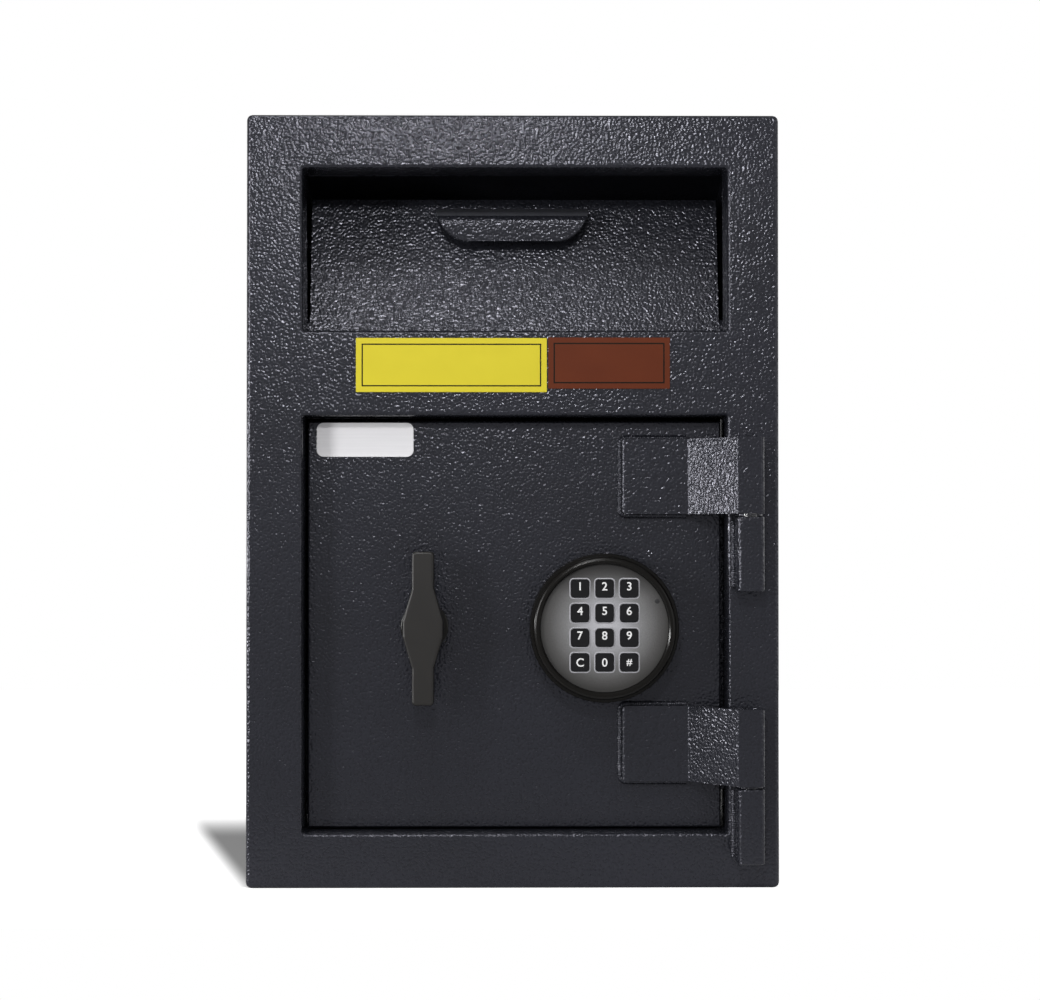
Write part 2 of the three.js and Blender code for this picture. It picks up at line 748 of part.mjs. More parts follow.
function boltCarriage() {
  const bottomZ = boltHeights[0] - carriageEndMargin;
  const topZ = boltHeights[2] + carriageEndMargin;
  const spineRight = carriageLeft + carriageStripWidth;
  const lugLeft = latchRight + latchSideGap;
  const round = carriageCornerRadius;
  const plate = prism(roundedPoints([
    [carriageLeft, bottomZ, round],
    [spineRight, bottomZ, round],
    [spineRight, lowerArmMiddle - lowerArmHeight / 2, round],
    [armRight, lowerArmMiddle - lowerArmHeight / 2, round],
    [armRight, lowerArmMiddle + lowerArmHeight / 2, round],
    [spineRight, lowerArmMiddle + lowerArmHeight / 2, round],
    [spineRight, crankPinZ - pinArmDrop, round],
    [armRight, crankPinZ - pinArmDrop, round],
    [armRight, lockArmBottom, round],
    [lugLeft, lockArmBottom, round],
    [lugLeft, lockTop + lugGap],
    [lugRight, lockTop + lugGap],
    [lugRight, lockArmBottom + lockArmHeight, round],
    [spineRight, lockArmBottom + lockArmHeight, round],
    [spineRight, topZ, round],
    [carriageLeft, topZ, round],
  ]), "y", carriageFrontY, carriageRearY);
  const flange = box(carriageLeft, carriageLeft + carriageThickness, carriageFrontY,
    carriageFrontY + carriageFlangeDepth, bottomZ, topZ);
  const cutFrontY = carriageFrontY - overrun;
  const cutRearY = carriageRearY + overrun;
  const slotZ = (crankPinZ + crankPinTopZ) / 2;
  const slotHalfWidth = crankPinRadius + crankPinClearance;
  const crankSlot = prism(roundedPoints(rectangleCorners(
    crankPinX - slotHalfWidth, crankPinX + slotHalfWidth,
    slotZ - crankSlotLength / 2, slotZ + crankSlotLength / 2,
  )), "y", cutFrontY, cutRearY);
  const studHole = studRadius + runningGap;
  const studSlots = Object.values(studPlaces).map(([x, z]) => prism(
    linkPoints(x, z, studHole, x + boltTravel, z, studHole), "y", cutFrontY, cutRearY,
  ));
  const tenonHoles = boltHeights.map((z) => rod("x", boltY, z, boltTenonRadius + seatGap,
    carriageLeft - overrun, carriageLeft + carriageThickness + overrun));
  return cut(plate.add(flange), [crankSlot, ...studSlots, ...tenonHoles]);
}

// Each headed stud stands on the leaf and lets the carriage slide along its slot.
function carriageStud([x, z]) {
  const headFrontY = carriageRearY + seatGap;
  const shank = rod("y", x, z, studRadius, leafRearY, headFrontY + studHeadThickness / 2);
  return shank.add(rod("y", x, z, studHeadRadius, headFrontY, headFrontY + studHeadThickness));
}

addPiece(safe, "bolt_carriage", boltCarriage(), zincPlate());
for (const [place, centre] of Object.entries(studPlaces)) {
  addPiece(safe, `carriage_stud_${place}`, carriageStud(centre), brightSteel());
}

// The handle's blade swells to a hexagon over its hub, and the hub is bored for the spindle.
const collarFrontY = leafFrontY - collarThickness;
const bladeRearY = leafFrontY - bladeStandOff;
const bladeFrontY = bladeRearY - bladeThickness;
const hubRearY = collarFrontY - seatGap;

function handleBlade() {
  const end = bladeLength / 2;
  const halfEnd = bladeEndWidth / 2;
  const halfMiddle = bladeMiddleWidth / 2;
  const rightSide = [
    [halfEnd, -end, bladeCornerRadius],
    [halfEnd, -bladeFlare, bladeCornerRadius],
    [halfMiddle, -bladeFlat, bladeCornerRadius],
    [halfMiddle, bladeFlat, bladeCornerRadius],
    [halfEnd, bladeFlare, bladeCornerRadius],
    [halfEnd, end, bladeCornerRadius],
  ];
  const leftSide = rightSide.map(([u, v, radius]) => [-u, v, radius]).reverse();
  const outline = roundedPoints([...rightSide, ...leftSide].map(([u, v, radius]) => [
    handleX + u, lockLineZ + v, radius,
  ]));
  const blade = prism(outline, "y", bladeFrontY + bladeEdgeRadius, bladeRearY - bladeEdgeRadius, {
    bevelEnabled: true,
    bevelThickness: bladeEdgeRadius,
    bevelSize: bladeEdgeRadius,
    bevelOffset: -bladeEdgeRadius,
    bevelSegments: edgeSteps,
  });
  const hub = rod("y", handleX, lockLineZ, hubRadius, bladeRearY - bladeEdgeRadius, hubRearY,
    largeCircleSides);
  const socket = rod("y", handleX, lockLineZ, spindleRadius + seatGap, hubRearY - spindleSocketDepth,
    hubRearY + overrun, largeCircleSides);
  return blade.add(hub).subtract(socket);
}

function handleSpindle() {
  const frontEndY = hubRearY - spindleSocketDepth + seatGap;
  const shaft = rod("y", handleX, lockLineZ, spindleRadius, frontEndY, crankFrontY - seatGap,
    largeCircleSides);
  const tenonRearY = crankRearY + seatGap + crankNutThickness;
  return shaft.add(rod("y", handleX, lockLineZ, crankTenonRadius, crankFrontY - overrun, tenonRearY));
}

// The crank's pin reaches forward into the carriage slot.
function handleCrank() {
  const lever = prism(
    linkPoints(handleX, lockLineZ, crankHubRadius, crankPinX, crankPinZ, crankEndRadius),
    "y", crankFrontY, crankRearY,
  );
  const pin = rod("y", crankPinX, crankPinZ, crankPinRadius, carriageFrontY, crankRearY - crankGap);
  const hole = rod("y", handleX, lockLineZ, crankTenonRadius + seatGap, crankFrontY - overrun,
    crankRearY + overrun);
  return lever.add(pin).subtract(hole);
}

function crankNut() {
  const nutFrontY = crankRearY + seatGap;
  const nutRearY = nutFrontY + crankNutThickness;
  const nut = rod("y", handleX, lockLineZ, crankNutCornerRadius, nutFrontY, nutRearY, nutSides);
  return nut.subtract(rod("y", handleX, lockLineZ, crankTenonRadius + seatGap, nutFrontY - overrun,
    nutRearY + overrun));
}

function handleCollar() {
  const ring = turned([
    [0, leafFrontY],
    [collarRadius, leafFrontY],
    [collarRadius, collarFrontY + collarThickness / 3],
    [collarRadius - collarThickness / 2, collarFrontY],
    [0, collarFrontY],
  ], handleX, lockLineZ, largeCircleSides);
  return ring.subtract(rod("y", handleX, lockLineZ, spindleRadius + runningGap, collarFrontY - overrun,
    leafFrontY + overrun, largeCircleSides));
}

addPiece(safe, "handle_blade", handleBlade(), handlePaint());
addPiece(safe, "handle_spindle", handleSpindle(), brightSteel());
addPiece(safe, "handle_crank", handleCrank(), zincPlate());
addPiece(safe, "crank_nut", crankNut(), zincPlate());
addPiece(safe, "handle_collar", handleCollar(), handlePaint());

const latchFrontY = leafRearY + carriageLeafGap - runningGap;
const latchRearY = latchFrontY + latchThickness;

// The lock is a closed casting on the leaf, with a pocket at its top for the sliding latch.
function lockBody() {
  const outline = roundedPoints(rectangleCorners(
    keypadX - lockWidth / 2, keypadX + lockWidth / 2, lockTop - lockHeight, lockTop, lockCornerRadius,
  ));
  const casting = prism(outline, "y", leafRearY, leafRearY + lockDepth);
  const pocket = box(latchLeft - runningGap, latchRight + runningGap, leafRearY + carriageLeafGap / 3,
    latchRearY + runningGap, lockTop - latchLength - 2 * runningGap, lockTop + overrun);
  return casting.subtract(pocket);
}

function lockLatch() {
  const topZ = lockTop - runningGap;
  return box(latchLeft, latchRight, latchFrontY, latchRearY, topZ - latchLength, topZ);
}

addPiece(safe, "lock_body", lockBody(), lockCasting());
addPiece(safe, "lock_latch", lockLatch(), brightSteel());

// The keypad is a round base with a stepped bezel, a thin face and a board under the keys.
const baseFrontY = leafFrontY - keypadBaseHeight;
const bezelFrontY = baseFrontY - keypadBezelHeight;
const faceFrontY = bezelFrontY + faceRecess;
const faceRearY = faceFrontY + faceThickness;
const boardFrontY = baseFrontY - boardThickness;

function keypadBase() {
  const seamRadius = keypadRadius - keypadSeam;
  return turned([
    [0, leafFrontY],
    [keypadRadius, leafFrontY],
    [keypadRadius, baseFrontY + 2 * keypadSeam],
    [seamRadius, baseFrontY + keypadSeam],
    [seamRadius, baseFrontY],
    [0, baseFrontY],
  ], keypadX, lockLineZ, keypadSides);
}

function keypadBezel() {
  const seamRadius = keypadRadius - keypadSeam;
  const stepY = bezelFrontY + bezelRound + bezelStep;
  const stepRadius = keypadRadius - bezelStep;
  const wellRadius = faceRadius + seatGap;
  const ledgeRadius = wellRadius - faceLedgeWidth;
  const crestRadius = wellRadius + bezelCrestWidth / 2;
  const shoulder = arcPoints(stepRadius - bezelRound, bezelFrontY + bezelRound, bezelRound, 0,
    -Math.PI / 2, 2 * edgeSteps).map((point) => [Math.max(point.x, crestRadius), point.y]);
  return turned([
    [ledgeRadius, baseFrontY],
    [seamRadius, baseFrontY],
    [seamRadius, baseFrontY - keypadSeam],
    [keypadRadius, baseFrontY - 2 * keypadSeam],
    [keypadRadius, stepY + bezelStep / 2],
    [keypadRadius - bezelStep / 4, stepY],
    [stepRadius, stepY],
    ...shoulder,
    [crestRadius, bezelFrontY],
    [wellRadius, bezelFrontY + faceRecess / 3],
    [wellRadius, faceRearY],
    [ledgeRadius, faceRearY],
    [ledgeRadius, baseFrontY],
  ], keypadX, lockLineZ, keypadSides);
}

function keyCentre(row, column) {
  return [keypadX + (column - 1) * keyPitch, lockLineZ + keyGridRise + (1.5 - row) * keyPitch];
}

function keySquare([x, z], halfSize, radius) {
  return roundedPoints(rectangleCorners(x - halfSize, x + halfSize, z - halfSize, z + halfSize, radius));
}

function keypadFace() {
  const disc = rod("y", keypadX, lockLineZ, faceRadius, faceFrontY, faceRearY, keypadSides);
  const windows = keyNames.flatMap((names, row) => names.map((name, column) => prism(
    keySquare(keyCentre(row, column), keySize / 2 + seatGap, keyCornerRadius + seatGap),
    "y", faceFrontY - overrun, faceRearY + overrun,
  )));
  return cut(disc, windows);
}

function keypadBoard() {
  const radius = faceRadius - faceLedgeWidth - seatGap;
  return rod("y", keypadX, lockLineZ, radius, boardFrontY, baseFrontY, keypadSides);
}

// A key has a cap through the face, a flange that keeps it in and a stem over its switch.
function keyPiece(centre) {
  const flangeFrontY = faceRearY + seatGap;
  const flangeRearY = flangeFrontY + keyFlangeThickness;
  const cap = prism(keySquare(centre, keySize / 2, keyCornerRadius), "y", faceFrontY - keyProud,
    flangeFrontY + keyFlangeThickness / 2);
  const flange = prism(keySquare(centre, keySize / 2 + keyFlange, keyCornerRadius), "y", flangeFrontY,
    flangeRearY);
  const stem = rod("y", ...centre, keyStemRadius, flangeRearY - keyFlangeThickness / 2,
    boardFrontY - keyStemGap, keyStemSides);
  return join([cap, flange, stem]);
}

addPiece(safe, "keypad_base", keypadBase(), blackPlastic());
addPiece(safe, "keypad_bezel", keypadBezel(), blackPlastic());
addPiece(safe, "keypad_face", keypadFace(), brushedFace());
addPiece(safe, "keypad_board", keypadBoard(), boardGreen());
keyNames.forEach((names, row) => names.forEach((name, column) => {
  addPiece(safe, name, keyPiece(keyCentre(row, column)), blackPlastic());
}));

// The hopper is a sheet bent to an open V, with a cheek at each end and a pull on its panel. It is
// drawn with its panel upright about the pivot and leans back in its place.
const hopper = new THREE.Group();
hopper.position.set(0, pivotY, pivotZ);
hopper.rotation.x = -hopperLean;
safe.add(hopper);

const panelAngle = Math.PI / 2;
const dropAngle = panelAngle - trayAngle;
const cornerAngle = (panelAngle + dropAngle) / 2 + Math.PI;

// The corner of a V whose two legs lie the given distance outside the pivot
function trayCorner(offset) {
  const reach = offset / Math.sin(trayAngle / 2);
  return [reach * Math.cos(cornerAngle), reach * Math.sin(cornerAngle), offset];
}

function hopperTray() {
  const offset = trayBendRadius - trayThickness / 2;
  const centreline = roundedPoints([
    [-offset, trayPanelLength],
    trayCorner(offset),
    [
      trayDropLength * Math.cos(dropAngle) + offset * Math.sin(dropAngle),
      trayDropLength * Math.sin(dropAngle) - offset * Math.cos(dropAngle),
    ],
  ], false);
  return prism(sheetPoints(centreline, trayThickness), "x", trayLeft, trayRight);
}

function hopperCheek(outerX, innerX) {
  const offset = trayBendRadius - trayThickness - seatGap;
  const slack = Math.asin(offset / cheekRadius);
  const outline = [
    ...arcPoints(0, 0, cheekRadius, dropAngle - slack, panelAngle + slack, arcSteps),
    ...arcPoints(0, 0, offset, panelAngle + Math.PI / 2, dropAngle + 3 * Math.PI / 2, bendSteps),
  ];
  return prism(outline, "x", Math.min(outerX, innerX), Math.max(outerX, innerX));
}

// The pin's collar fills the space between cheek and side plate, and its end turns in the plate.
function hopperPin(cheekX, plateX, outward) {
  const collarEnd = plateX - outward * seatGap;
  const pinEnd = plateX + outward * (sideThickness + pivotPinEnd);
  const collar = rod("x", 0, 0, pivotCollarRadius, Math.min(cheekX, collarEnd), Math.max(cheekX, collarEnd));
  return collar.add(rod("x", 0, 0, pivotPinRadius, Math.min(cheekX, pinEnd), Math.max(cheekX, pinEnd)));
}

// The pull is a strip that ramps out, bends over a crest and hangs as a lip with large round corners.
function hopperPull() {
  const panelFace = -trayBendRadius;
  const crest = panelFace - pullCrestOut + pullThickness / 2;
  const lip = panelFace - pullLipOut + pullThickness / 2;
  const centreline = roundedPoints([
    [panelFace + overrun, pullRootRise + overrun],
    [crest, pullCrestRise, pullBendRadius],
    [lip, pullLipRise],
  ], false);
  const halfWidth = pullWidth / 2;
  const halfRoot = pullRootWidth / 2;
  const strip = prism(sheetPoints(centreline, pullThickness), "x", -halfRoot, halfRoot);
  const bowl = prism(roundedPoints([
    [-halfWidth, pullLipRise - pullThickness, pullCornerRadius],
    [halfWidth, pullLipRise - pullThickness, pullCornerRadius],
    [halfWidth, pullCrestRise],
    [halfRoot, pullRootRise],
    [halfRoot, trayPanelLength + overrun],
    [-halfRoot, trayPanelLength + overrun],
    [-halfRoot, pullRootRise],
    [-halfWidth, pullCrestRise],
  ]), "y", panelFace - pullCrestOut - overrun, panelFace - seatGap);
  return strip.intersect(bowl);
}

addPiece(hopper, "hopper_tray", hopperTray(), steelPaint());
addPiece(hopper, "hopper_pull", hopperPull(), steelPaint());
addPiece(hopper, "hopper_cheek_left", hopperCheek(trayLeft, trayLeft + cheekThickness), steelPaint());
addPiece(hopper, "hopper_cheek_right", hopperCheek(trayRight, trayRight - cheekThickness), steelPaint());
addPiece(hopper, "hopper_pin_left", hopperPin(trayLeft, sideInnerLeft, -1), brightSteel());
addPiece(hopper, "hopper_pin_right", hopperPin(trayRight, sideInnerRight, 1), brightSteel());

// The hood runs back from the frame and curls down round the path of the tray's rear edge.
function hopperHood() {
  const radius = hoodRadius + hoodThickness / 2;
  const centreline = [
    new THREE.Vector2(frontY + bodyWall + seatGap, pivotZ + radius),
    ...arcPoints(pivotY, pivotZ, radius, Math.PI / 2, hoodEndAngle, arcSteps),
  ];
  return prism(sheetPoints(centreline, hoodThickness), "x", sideInnerLeft + seatGap,
    sideInnerRight - seatGap);
}

// Each side plate laps the return, closes the hood's end and carries the pivot. Its two welded studs
// stop the tray's drop plate, from below when shut and from above when it is tilted out.
function hopperSide(innerX, inward) {
  const outerX = innerX - inward * sideThickness;
  const left = Math.min(innerX, outerX);
  const right = Math.max(innerX, outerX);
  const plate = prism([
    new THREE.Vector2(pivotY, pivotZ - sideHeelDrop),
    ...arcPoints(pivotY, pivotZ, hoodRadius + hoodThickness, sideEndAngle, Math.PI / 2, arcSteps),
    new THREE.Vector2(frontY + sideFrontInset, pivotZ + hoodRadius + hoodThickness),
    new THREE.Vector2(frontY + sideFrontInset, pivotZ - sideToeDrop),
  ], "x", left, right);
  const shutDropAngle = dropAngle - hopperLean;
  const insideOffset = stopRadius + seatGap - (trayBendRadius - trayThickness);
  const outsideOffset = stopRadius + seatGap + trayBendRadius;
  const studEndX = innerX + inward * stopReach;
  const studs = [
    shutDropAngle - Math.asin(outsideOffset / stopCircleRadius),
    shutDropAngle + hopperSwing + Math.asin(insideOffset / stopCircleRadius),
  ].map((angle) => rod("x", pivotY + stopCircleRadius * Math.cos(angle),
    pivotZ + stopCircleRadius * Math.sin(angle), stopRadius, Math.min(outerX, studEndX),
    Math.max(outerX, studEndX)));
  const hole = rod("x", pivotY, pivotZ, pivotPinRadius + runningGap, left - overrun, right + overrun,
    largeCircleSides);
  return join([plate, ...studs]).subtract(hole);
}

addPiece(safe, "hopper_hood", hopperHood(), steelPaint());
addPiece(safe, "hopper_side_left", hopperSide(sideInnerLeft, 1), steelPaint());
addPiece(safe, "hopper_side_right", hopperSide(sideInnerRight, -1), steelPaint());

export default safe;
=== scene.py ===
import math

import bmesh
import bpy
from mathutils import Matrix, Vector


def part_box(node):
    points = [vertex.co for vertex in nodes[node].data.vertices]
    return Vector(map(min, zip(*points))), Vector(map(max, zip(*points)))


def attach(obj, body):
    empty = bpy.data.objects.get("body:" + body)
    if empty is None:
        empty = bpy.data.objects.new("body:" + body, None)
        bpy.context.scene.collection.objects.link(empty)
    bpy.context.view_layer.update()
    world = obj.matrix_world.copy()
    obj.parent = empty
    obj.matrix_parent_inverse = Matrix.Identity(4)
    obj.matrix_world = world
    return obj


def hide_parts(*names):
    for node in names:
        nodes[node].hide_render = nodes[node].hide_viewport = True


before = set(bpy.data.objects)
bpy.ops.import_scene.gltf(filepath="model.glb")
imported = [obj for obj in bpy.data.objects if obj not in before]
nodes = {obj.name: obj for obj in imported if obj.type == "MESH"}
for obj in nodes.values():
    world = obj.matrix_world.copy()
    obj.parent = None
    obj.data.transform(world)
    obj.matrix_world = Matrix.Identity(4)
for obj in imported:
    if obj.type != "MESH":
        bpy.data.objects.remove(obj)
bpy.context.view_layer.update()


# The studio. The camera stands 1.46 m in front of the safe, just under its middle height, as in
# the photograph. Two small lamps graze the paint and the hinges and pick out the grain, soft ones
# fill from above, from both sides and from behind, and the floor is pale card.
def linear(hex_colour):
    channels = [int(hex_colour[i:i + 2], 16) / 255 for i in (1, 3, 5)]
    return [c / 12.92 if c <= 0.04045 else ((c + 0.055) / 1.055) ** 2.4 for c in channels] + [1]


def add_node(tree, kind, inputs=None, **settings):
    made = tree.nodes.new(kind)
    for name, value in settings.items():
        setattr(made, name, value)
    for key, value in (inputs or {}).items():
        if isinstance(value, bpy.types.NodeSocket):
            tree.links.new(value, made.inputs[key])
        else:
            made.inputs[key].default_value = value
    return made


def new_material(name):
    material = bpy.data.materials.new(name)
    material.use_nodes = True
    material.node_tree.nodes.clear()
    return material, material.node_tree


def new_piece(name, build, materials, body=None):
    mesh = bpy.data.meshes.new(name)
    shape = bmesh.new()
    build(shape)
    shape.to_mesh(mesh)
    shape.free()
    piece = bpy.data.objects.new(name, mesh)
    bpy.context.scene.collection.objects.link(piece)
    for material in materials:
        mesh.materials.append(material)
    if body:
        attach(piece, body)
    return piece


def add_lamp(name, place, aim, size, power, spread=180):
    lamp = bpy.data.lights.new(name, "AREA")
    lamp.shape = "RECTANGLE"
    lamp.size, lamp.size_y = size
    lamp.energy = power
    lamp.spread = math.radians(spread)
    holder = bpy.data.objects.new(name, lamp)
    holder.location = place
    holder.visible_camera = False
    holder.rotation_euler = (Vector(aim) - Vector(place)).to_track_quat("-Z", "Y").to_euler()
    bpy.context.scene.collection.objects.link(holder)


lens = bpy.data.cameras.new("camera")
lens.sensor_width = 36
lens.lens = 77.03
camera = bpy.data.objects.new("camera", lens)
camera.location = (-0.0087, -1.6391, 0.2359)
tilt_up, turn_right = 0.0127, 0.0092
camera.rotation_euler = (math.pi / 2 + tilt_up, 0, -turn_right)
bpy.context.scene.collection.objects.link(camera)
bpy.context.scene.camera = camera
bpy.context.scene.view_settings.view_transform = "Standard"

front, middle = (0, -0.15, 0.25), (0, 0.1, 0.2)
add_lamp("top_lamp", (-0.3, -1.4, 2.1), (0, -0.15, 0.3), (0.8, 0.5), 10)
add_lamp("grain_lamp", (-0.08, -1.38, 0.795), (0, -0.178, 0.40), (0.15, 0.08), 3.6)
add_lamp("hinge_lamp", (-0.9, -0.31, 0.25), (0.13, -0.18, 0.18), (0.08, 0.12), 0.14, spread=44)
add_lamp("left_lamp", (-1.55, -1.5, 0.5), front, (0.35, 0.9), 17)
add_lamp("right_fill", (1.7, -1.4, 0.5), front, (1.2, 1.2), 2.5)
add_lamp("rear_left", (-1.5, 1.5, 0.9), middle, (2.0, 2.0), 8)
add_lamp("rear_right", (1.7, 0.9, 0.8), middle, (2.0, 1.8), 9)

sky = bpy.data.worlds.new("pale_room")
sky.use_nodes = True
sky.node_tree.nodes.clear()
bpy.context.scene.world = sky
rays = add_node(sky.node_tree, "ShaderNodeLightPath")
room, white = [add_node(sky.node_tree, "ShaderNodeBackground", {
    "Color": linear("#ffffff"), "Strength": strength}) for strength in (0.37, 1.0)]
pick = add_node(sky.node_tree, "ShaderNodeMixShader", {
    0: rays.outputs["Is Camera Ray"], 1: room.outputs[0], 2: white.outputs[0]})
add_node(sky.node_tree, "ShaderNodeOutputWorld", {"Surface": pick.outputs[0]})

# The card goes white to the camera by 0.42 m from the safe's middle. The soft shadow along the
# left wall's foot, which widens to the back, is drawn darker than these lamps would leave it.
floor_card, tree = new_material("pale_floor_card")
place = add_node(tree, "ShaderNodeTexCoord").outputs["Object"]
distance = add_node(tree, "ShaderNodeVectorMath", {0: place}, operation="LENGTH")
outer = add_node(tree, "ShaderNodeMapRange", {
    "Value": distance.outputs["Value"], "From Min": 0.2, "From Max": 0.42,
    "To Min": 0.72, "To Max": 1.0})
axes = add_node(tree, "ShaderNodeSeparateXYZ", {0: place}).outputs
wedge_slant, wedge_depth = 0.24, 0.85
slant = add_node(tree, "ShaderNodeMath", {
    0: axes["Y"], 1: wedge_slant, 2: axes["X"]}, operation="MULTIPLY_ADD").outputs[0]
shade = 1.0
for value, clear, full in ((slant, -0.232, -0.207), (axes["Y"], 0.27, 0.06),
                           (axes["Y"], -0.184, -0.168), (axes["X"], 0.0, -0.05)):
    step = add_node(tree, "ShaderNodeMapRange", {
        "Value": value, "From Min": clear, "From Max": full}, interpolation_type="SMOOTHSTEP")
    shade = add_node(tree, "ShaderNodeMath", {
        0: step.outputs[0], 1: shade}, operation="MULTIPLY").outputs[0]
inner = add_node(tree, "ShaderNodeMath", {
    0: shade, 1: -wedge_depth, 2: 1.0}, operation="MULTIPLY_ADD").outputs[0]
whiteness = add_node(tree, "ShaderNodeMath", {
    0: inner, 1: outer.outputs[0]}, operation="MINIMUM").outputs[0]
rays = add_node(tree, "ShaderNodeLightPath")
card = add_node(tree, "ShaderNodeBsdfDiffuse", {"Color": linear("#ededed")})
shaded_card = add_node(tree, "ShaderNodeBsdfDiffuse", {"Color": inner})
glow = add_node(tree, "ShaderNodeEmission", {"Color": linear("#ffffff"), "Strength": whiteness})
lifted = add_node(tree, "ShaderNodeAddShader", {0: shaded_card.outputs[0], 1: glow.outputs[0]})
seen = add_node(tree, "ShaderNodeMixShader", {
    0: rays.outputs["Is Camera Ray"], 1: card.outputs[0], 2: lifted.outputs[0]})
add_node(tree, "ShaderNodeOutputMaterial", {"Surface": seen.outputs[0]})


def lay_floor(shape):
    left, right, front, back = -1.1, 1.1, -0.32, 1.6
    places = ((left, front, 0), (right, front, 0), (right, back, 0), (left, back, 0))
    corners = [shape.verts.new(place) for place in places]
    shape.faces.new(corners)


floor = new_piece("floor", lay_floor, [floor_card])


# The steel body. Walls, front, back and the hopper's housing are mild steel sheet, bent and
# welded, with one powder coat: a dark grey hammered grain that glints where a lamp grazes it
# and goes plain and dark below. Its lumps are 1.3 mm apart and drawn at 2 mm, so that they show.
def paint_material():
    material, tree = new_material("hammered_powder_coat")
    place = add_node(tree, "ShaderNodeTexCoord").outputs["Object"]
    lumps = add_node(tree, "ShaderNodeTexNoise", {"Vector": place, "Scale": 600, "Detail": 0.0})
    bumps = add_node(tree, "ShaderNodeBump", {
        "Strength": 1.0, "Distance": 0.0004, "Height": lumps.outputs["Fac"]})
    clouds = add_node(tree, "ShaderNodeTexNoise", {"Vector": place, "Scale": 14, "Detail": 3})
    tint = add_node(tree, "ShaderNodeValToRGB", {"Fac": clouds.outputs["Fac"]})
    for stop, position, colour in zip(
            tint.color_ramp.elements, (0.35, 0.65), ("#1e1f24", "#222329")):
        stop.position, stop.color = position, linear(colour)
    # Low places between the lumps are painted darker: a painted shade in the hollows.
    hollow_shade = add_node(tree, "ShaderNodeMapRange", {
        "Value": lumps.outputs["Fac"], "From Min": 0.5, "From Max": 0.3,
        "To Min": 0.0, "To Max": 0.45})
    shaded = add_node(tree, "ShaderNodeMix", {
        0: hollow_shade.outputs[0], 6: tint.outputs["Color"], 7: linear("#121317")}, data_type="RGBA")
    skin = add_node(tree, "ShaderNodeBsdfPrincipled", {
        "Base Color": shaded.outputs[2], "Roughness": 0.22, "Specular IOR Level": 0.55,
        "Specular Tint": linear("#f1f1ff"), "Normal": bumps.outputs[0]})
    add_node(tree, "ShaderNodeOutputMaterial", {"Surface": skin.outputs[0]})
    return material


def new_tree(name, sizes):
    tree = bpy.data.node_groups.new(name, "GeometryNodeTree")
    tree.interface.new_socket("Geometry", in_out="INPUT", socket_type="NodeSocketGeometry")
    for label, value in sizes.items():
        kind = "NodeSocketInt" if isinstance(value, int) else "NodeSocketFloat"
        socket = tree.interface.new_socket(label, in_out="INPUT", socket_type=kind)
        socket.default_value = value
    tree.interface.new_socket("Geometry", in_out="OUTPUT", socket_type="NodeSocketGeometry")
    return tree, tree.nodes.new("NodeGroupInput").outputs


# Bends and rounds read as smooth metal, and edges sharper than the angle stay crisp. Where a
# width is given, edges of over 50 degrees are rounded to it, as the real plates' broken edges are.
same_place = 0.00001
corner_tree, sizes = new_tree("crisp_corners", {"Corner Angle": math.radians(38)})
merged = add_node(corner_tree, "GeometryNodeMergeByDistance", {
    0: sizes["Geometry"], "Distance": same_place})
smooth = add_node(corner_tree, "GeometryNodeSetShadeSmooth", {0: merged.outputs[0]})
bend = add_node(corner_tree, "GeometryNodeInputMeshEdgeAngle")
sharp = add_node(corner_tree, "FunctionNodeCompare", {
    0: bend.outputs["Unsigned Angle"], 1: sizes["Corner Angle"]}, operation="GREATER_THAN")
crisp = add_node(corner_tree, "GeometryNodeSetShadeSmooth", {
    0: smooth.outputs[0], 1: sharp.outputs[0], 2: False}, domain="EDGE")
add_node(corner_tree, "NodeGroupOutput", {0: crisp.outputs[0]})


def dress(material, *names, broken=0):
    for name in names:
        slots = nodes[name].data.materials
        slots.clear()
        slots.append(material)
        if broken:
            nodes[name].modifiers.new("joined_faces", "WELD").merge_threshold = same_place
            edges = nodes[name].modifiers.new("broken_edges", "BEVEL")
            edges.width, edges.segments, edges.angle_limit = broken, 3, math.radians(50)
            edges.use_clamp_overlap = False
        corners = nodes[name].modifiers.new("crisp_corners", "NODES")
        corners.node_group = corner_tree
        flats = nodes[name].modifiers.new("even_flats", "WEIGHTED_NORMAL")
        flats.keep_sharp = True


powder_coat = paint_material()
dress(powder_coat, "body_wrap", "back_plate", "hopper_hood", "hopper_side_left",
      "hopper_side_right")
dress(powder_coat, "front_frame", broken=0.0024)


# The body's welds. The back plate is set into the wrap and stitched to it, and a bead runs up
# both sides of each fixed hinge knuckle. The beads are steel, rippled, under the same paint.
bead_tree, sizes = new_tree("weld_bead", {
    "Bead Radius": 0.002, "Ripple Pitch": 0.0014, "Ripple Share": 0.16, "Seed": 3})
rings_per_ripple = 4.0
runs = add_node(bead_tree, "GeometryNodeMeshToCurve", {0: sizes["Geometry"]})
steps = add_node(bead_tree, "ShaderNodeMath", {
    0: sizes["Ripple Pitch"], 1: rings_per_ripple}, operation="DIVIDE")
fine = add_node(bead_tree, "GeometryNodeResampleCurve", {
    0: runs.outputs[0], 3: steps.outputs[0]}, mode="LENGTH")
along = add_node(bead_tree, "GeometryNodeSplineParameter")
turns = add_node(bead_tree, "ShaderNodeMath", {
    0: along.outputs["Length"], 1: sizes["Ripple Pitch"]}, operation="DIVIDE")
saw = add_node(bead_tree, "ShaderNodeMath", {0: turns.outputs[0]}, operation="FRACT")
drop = add_node(bead_tree, "ShaderNodeMath", {
    0: saw.outputs[0], 1: sizes["Ripple Share"]}, operation="MULTIPLY")
wobble = 0.03
chance = add_node(bead_tree, "FunctionNodeRandomValue", {
    2: -wobble, 3: wobble, "Seed": sizes["Seed"]})
uneven = add_node(bead_tree, "ShaderNodeMath", {
    0: chance.outputs[1], 1: drop.outputs[0]}, operation="SUBTRACT")
